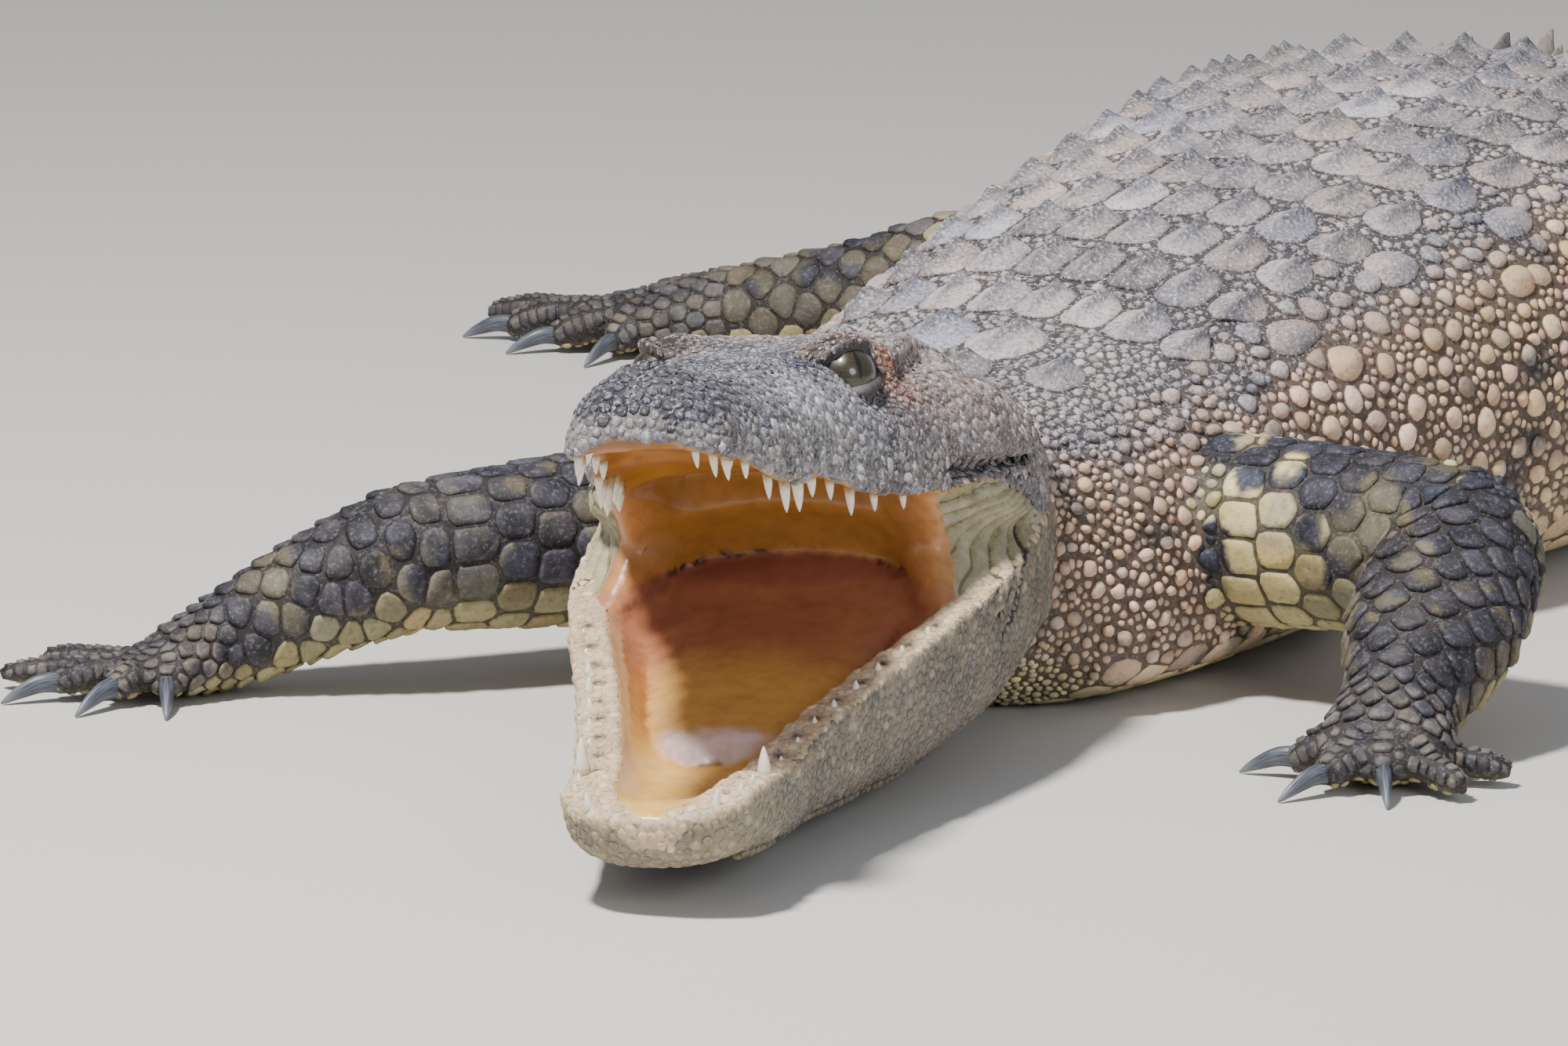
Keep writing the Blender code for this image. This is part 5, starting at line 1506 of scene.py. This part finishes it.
def loft_faces(rows, spokes, start):
    """Faces of a closed tube of rings, its ends shut by one face each."""
    faces = [tuple(start + k for k in reversed(range(spokes)))]
    for row in range(rows - 1):
        low, high = start + row * spokes, start + (row + 1) * spokes
        faces += [(low + k, low + (k + 1) % spokes, high + (k + 1) % spokes, high + k) for k in range(spokes)]
    faces.append(tuple(start + (rows - 1) * spokes + k for k in range(spokes)))
    return faces


def facing_out(piece):
    """Turns every face of a closed piece to the outside."""
    only(piece)
    bpy.ops.object.mode_set(mode="EDIT")
    bpy.ops.mesh.select_all(action="SELECT")
    bpy.ops.mesh.normals_make_consistent(inside=False)
    bpy.ops.object.mode_set(mode="OBJECT")


# Dentine under thin enamel: cream white, brown toward the gum, polished at the tip, with stains 2 mm across.
ivory, tree = new_material("tooth_ivory")
place = add_node(tree, "TexCoord").outputs["Object"]
rise = add_node(tree, "Attribute", attribute_name="rise").outputs["Fac"]
streak = add_node(tree, "TexNoise", Vector=place, Scale=420.0, Detail=2.0)
clean = add_node(tree, "Math", operation="MULTIPLY", i0=streak, i1=0.25)
clean = add_node(tree, "Math", operation="ADD", i0=rise, i1=clean)
clean = add_node(tree, "MapRange", **SMOOTH, Value=clean, From_Min=0.30, From_Max=0.62)
shaded = add_node(tree, "Mix", **MIXED, i0=clean, i6="#A98A58", i7="#EFE9DA")
shader = add_node(tree, "BsdfPrincipled", Base_Color=shaded, Roughness=0.28, Subsurface_Weight=0.08,
                  Subsurface_Radius=(0.002, 0.0015, 0.001))
add_node(tree, "OutputMaterial", Surface=shader)

GUM = 0.006  # how deep a root is set
for name, teeth, form, length, axes, down in (
        ("upper_teeth", UPPER_TEETH, SKULL, SKULL_LENGTH, SKULL_AXES, True),
        ("lower_teeth", LOWER_TEETH, JAW, JAW_LENGTH, JAW_AXES, False)):
    tooth_rows, tooth_faces, tooth_rise = [], [], []
    for sign in (1, -1):
        for number, (t, height, radius) in enumerate(teeth):
            half = eased(form, t)[0]
            # The two sides of a living jaw are never quite alike.
            height = height * (1 + 0.16 * math.sin(5.1 * number + 2 * sign))
            if down:
                root = np.array([t * length, sign * (half - 0.0085), eased(form, t)[2] + GUM])
                way = np.array([0.10 if t > 0.9 else -0.04, sign * 0.14, -1.0])
            else:
                root = np.array([t * length, sign * (half - 0.0125), jaw_wave(t) - GUM])
                way = np.array([0.16 if t > 0.9 else 0.02, sign * 0.12, 1.0])
            root[0] -= 0.006 * ramp(t, 0.95, 1.0)
            way = way / np.linalg.norm(way)
            back = np.array([-1.0, -0.5 * sign, 0.0]) if t < 0.9 else np.array([-1.0, 0.0, 0.0])
            back = back - way * (back @ way)
            back /= np.linalg.norm(back)
            rows = tooth_points(root, way, back, height + GUM, radius)
            start = len(tooth_rows) * TOOTH_ROWS * TOOTH_SPOKES
            tooth_faces += loft_faces(TOOTH_ROWS, TOOTH_SPOKES, start)
            tooth_rows.append(rows @ axes + JAW_JOINT)
            tooth_rise.append(np.repeat(np.linspace(0, 1, TOOTH_ROWS), TOOTH_SPOKES))
    piece = new_object(name, np.array(tooth_rows).reshape(-1, 3), tooth_faces)
    facing_out(piece)
    piece.data.shade_smooth()
    mark(piece, "rise", np.concatenate(tooth_rise))
    piece.data.materials.append(ivory)
    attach(piece, "root")


# --- Eyes ------------------------------------------------------------------------------------------------
# Full round eyeballs deep in their sockets: a dark olive iris streaked out from an upright slit of a pupil,
# under a clear wet cornea. Each is one ball, held by the lids that close in round it.
iris, tree = new_material("iris_under_cornea")
sideways = add_node(tree, "Attribute", attribute_name="sideways").outputs["Fac"]
upward = add_node(tree, "Attribute", attribute_name="upward").outputs["Fac"]
spot = add_node(tree, "CombineXYZ", X=sideways, Y=upward)
away = add_node(tree, "VectorMath", operation="LENGTH", i0=spot)
# The iris's streaks run out from the pupil, so the noise is stretched that way.
turn = add_node(tree, "Math", operation="ARCTAN2", i0=upward, i1=sideways)
turn = add_node(tree, "Math", operation="MULTIPLY", i0=turn, i1=9.0)
out = add_node(tree, "Math", operation="MULTIPLY", i0=away, i1=5.0)
ray = add_node(tree, "CombineXYZ", X=turn, Y=out)
streak = add_node(tree, "TexNoise", Vector=ray, Scale=2.2, Detail=4.0, Roughness=0.65)
gold = add_node(tree, "MapRange", **SMOOTH, Value=streak, From_Min=0.38, From_Max=0.66)
shaded = add_node(tree, "Mix", **MIXED, i0=gold, i6="#16140A", i7="#433C1C")
rim = add_node(tree, "MapRange", **SMOOTH, Value=away, From_Min=0.62, From_Max=0.88)
shaded = add_node(tree, "Mix", **MIXED, i0=rim, i6=shaded, i7="#191510")
# The slit is widest at its middle and pointed at both ends.
across_slit = add_node(tree, "Math", operation="ABSOLUTE", i0=sideways)
across_slit = add_node(tree, "Math", operation="MULTIPLY", i0=across_slit, i1=11.0)
up_slit = add_node(tree, "Math", operation="MULTIPLY", i0=upward, i1=1.9)
up_slit = add_node(tree, "Math", operation="ABSOLUTE", i0=up_slit)
up_slit = add_node(tree, "Math", operation="POWER", i0=up_slit, i1=2.0)
slit = add_node(tree, "Math", operation="ADD", i0=across_slit, i1=up_slit)
open_iris = add_node(tree, "MapRange", **SMOOTH, Value=slit, From_Min=0.85, From_Max=1.05)
shaded = add_node(tree, "Mix", **MIXED, i0=open_iris, i6="#050505", i7=shaded)
shader = add_node(tree, "BsdfPrincipled", Base_Color=shaded, Roughness=0.35, Coat_Weight=1.0,
                  Coat_Roughness=0.03)
add_node(tree, "OutputMaterial", Surface=shader)

for name, sign in (("eye_left", 1), ("eye_right", -1)):
    centre = (EYE_AT * (1, sign, 1)) @ SKULL_AXES + JAW_JOINT
    bpy.ops.object.select_all(action="DESELECT")
    bpy.ops.mesh.primitive_uv_sphere_add(segments=72, ring_count=48, radius=EYE_RADIUS,
                                         location=(0, 0, 0), calc_uvs=False)
    eye = bpy.context.object
    eye.name = name + "_ball"
    gaze = (GAZE * (1, sign, 1)) @ SKULL_AXES
    upright = np.array([0, 0, 1.0]) - gaze * gaze[2]
    upright /= np.linalg.norm(upright)
    level_axis = np.cross(upright, gaze)
    ball = points_of(eye)
    aim = ball / EYE_RADIUS
    # The ball's own pole looks along the gaze, and the cornea bulges a little from it.
    bulge = 1 + 0.035 * ramp(aim[:, 2], 0.70, 1.0)
    place = aim[:, 0:1] * level_axis + aim[:, 1:2] * upright + aim[:, 2:3] * gaze
    place = place * (EYE_RADIUS * bulge)[:, None]
    set_points(eye, place + centre)
    mark(eye, "sideways", aim[:, 0])
    mark(eye, "upward", aim[:, 1])
    eye.data.shade_smooth()
    eye.data.materials.append(iris)
    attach(eye, "root")
    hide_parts(name)


# --- Claws -----------------------------------------------------------------------------------------------
# Horn sheaths on the three inner toes of each foot: deep, narrow and gently hooked, blunted by walking, with
# fine lengthwise growth lines and pale worn tips.
horn, tree = new_material("claw_horn")
rise = add_node(tree, "Attribute", attribute_name="rise").outputs["Fac"]
around = add_node(tree, "Attribute", attribute_name="around").outputs["Fac"]
# Growth lines run along the sheath, so the noise is stretched that way.
turn = add_node(tree, "Math", operation="MULTIPLY", i0=around, i1=14.0)
out = add_node(tree, "Math", operation="MULTIPLY", i0=rise, i1=1.5)
line = add_node(tree, "CombineXYZ", X=turn, Y=out)
growth = add_node(tree, "TexNoise", Vector=line, Scale=1.6, Detail=4.0)
shaded = add_node(tree, "MapRange", **SMOOTH, Value=growth, From_Min=0.35, From_Max=0.65)
shaded = add_node(tree, "Mix", **MIXED, i0=shaded, i6="#30333C", i7="#636975")
for low, high, at_low, at_high, colour in ((0.60, 1.0, 0.0, 0.5, "#8E9198"),
                                           (0.0, 0.16, 0.55, 0.0, "#2B2A2E")):
    where = add_node(tree, "MapRange", **SMOOTH, Value=rise, From_Min=low, From_Max=high, To_Min=at_low,
                     To_Max=at_high)
    shaded = add_node(tree, "Mix", **MIXED, i0=where, i6=shaded, i7=colour)
relief = add_node(tree, "Bump", Strength=0.4, Distance=0.0004, Height=growth)
shader = add_node(tree, "BsdfPrincipled", Base_Color=shaded, Roughness=0.38, Normal=relief,
                  Specular_IOR_Level=0.5)
add_node(tree, "OutputMaterial", Surface=shader)

CLAW_SPOKES, CLAW_ROWS = 20, 18
for (limb, digit), (curve, way, _, clawed) in toe_lines.items():
    if not clawed:
        continue
    spot, along = on_curve(curve, np.array([curve[1][-1]]))
    base = spot[0] - along[0] * 0.008
    tip = base + way * (CLAW_LENGTH + 0.006)
    tip[2] = 0.0014
    hook = curve_through([base, base + (tip - base) * 0.35 + (0, 0, 0.0045),
                          base + (tip - base) * 0.72 + (0, 0, 0.0030), tip])
    rows = []
    for share in np.linspace(0, 1, CLAW_ROWS):
        spot, along = on_curve(hook, np.array([hook[1][-1] * share]))
        flat, upward = level_and_up(along[0])
        size = 0.0074 * (1 - share ** 1.7) ** 0.80 + 0.0008
        turns = turns_round(CLAW_SPOKES)
        deep = np.where(np.sin(turns) > 0, 1.12, 0.92)
        rows.append(spot[0] + flat * (size * 0.80 * signed_power(np.cos(turns), 0.9))[:, None]
                    + upward * (size * deep * np.sin(turns))[:, None])
    rows = np.array(rows).reshape(-1, 3)
    rows[:, 2] = np.maximum(rows[:, 2], 0.0004)
    piece = new_object(f"claw_sheath_{limb}_{digit}", rows, loft_faces(CLAW_ROWS, CLAW_SPOKES, 0))
    facing_out(piece)
    piece.data.shade_smooth()
    mark(piece, "rise", np.repeat(np.linspace(0, 1, CLAW_ROWS), CLAW_SPOKES))
    mark(piece, "around", np.tile(np.abs(np.linspace(-1, 1, CLAW_SPOKES + 1)[:-1]), CLAW_ROWS))
    piece.data.materials.append(horn)
    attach(piece, "root")
    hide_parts(f"claw_{limb}_{digit}")


# --- Floor, light and camera -----------------------------------------------------------------------------
# A plain floor of pale matt paper runs out of sight under the animal. A small lamp high up gives it crisp
# shadows, a wide soft one fills them, and a long lens looks from in front and a little above.
floor_bm = bmesh.new()
bmesh.ops.create_grid(floor_bm, x_segments=1, y_segments=1, size=60)
floor_mesh = bpy.data.meshes.new("floor")
floor_bm.to_mesh(floor_mesh)
floor_bm.free()
studio_floor = bpy.data.objects.new("studio_floor", floor_mesh)
bpy.context.scene.collection.objects.link(studio_floor)
paper = bpy.data.materials.new("pale_paper")
paper.use_nodes = True
paper_shader = paper.node_tree.nodes["Principled BSDF"]
paper_shader.inputs["Base Color"].default_value = (0.62, 0.60, 0.57, 1)
paper_shader.inputs["Roughness"].default_value = 0.9
floor_mesh.materials.append(paper)

world = bpy.data.worlds.new("studio")
world.use_nodes = True
world.node_tree.nodes["Background"].inputs["Color"].default_value = (0.82, 0.88, 1.0, 1)
world.node_tree.nodes["Background"].inputs["Strength"].default_value = 0.34
bpy.context.scene.world = world
# Name, place, what it points at, size, power, colour.
LAMPS = [
    ("key_lamp", (-2.0, -2.15, 4.3), (0.0, -0.6, 0.1), 0.6, 430, (1.0, 0.97, 0.92)),
    ("fill_lamp", (2.0, -5.5, 2.5), (-0.4, -0.9, 0.1), 2.5, 90, (0.92, 0.96, 1.0)),
]
for name, place, target, size, power, colour in LAMPS:
    lamp = bpy.data.lights.new(name, "AREA")
    lamp.shape = "DISK"
    lamp.size = size
    lamp.energy = power
    lamp.color = colour
    holder = bpy.data.objects.new(name, lamp)
    holder.location = place
    holder.rotation_euler = (Vector(target) - Vector(place)).to_track_quat("-Z", "Y").to_euler()
    holder.visible_camera = False
    bpy.context.scene.collection.objects.link(holder)

CAMERA_AT = (-0.6907, -9.3666, 2.03)
CAMERA_TILT = 12.27  # degrees below level
LENS = 265.3  # mm, on a sensor 36 mm wide
lens = bpy.data.cameras.new("long_lens")
lens.lens = LENS
lens.sensor_width = 36
lens.clip_end = 300
camera = bpy.data.objects.new("camera", lens)
camera.location = CAMERA_AT
camera.rotation_euler = (math.radians(90 - CAMERA_TILT), 0, 0)
bpy.context.scene.collection.objects.link(camera)
bpy.context.scene.camera = camera
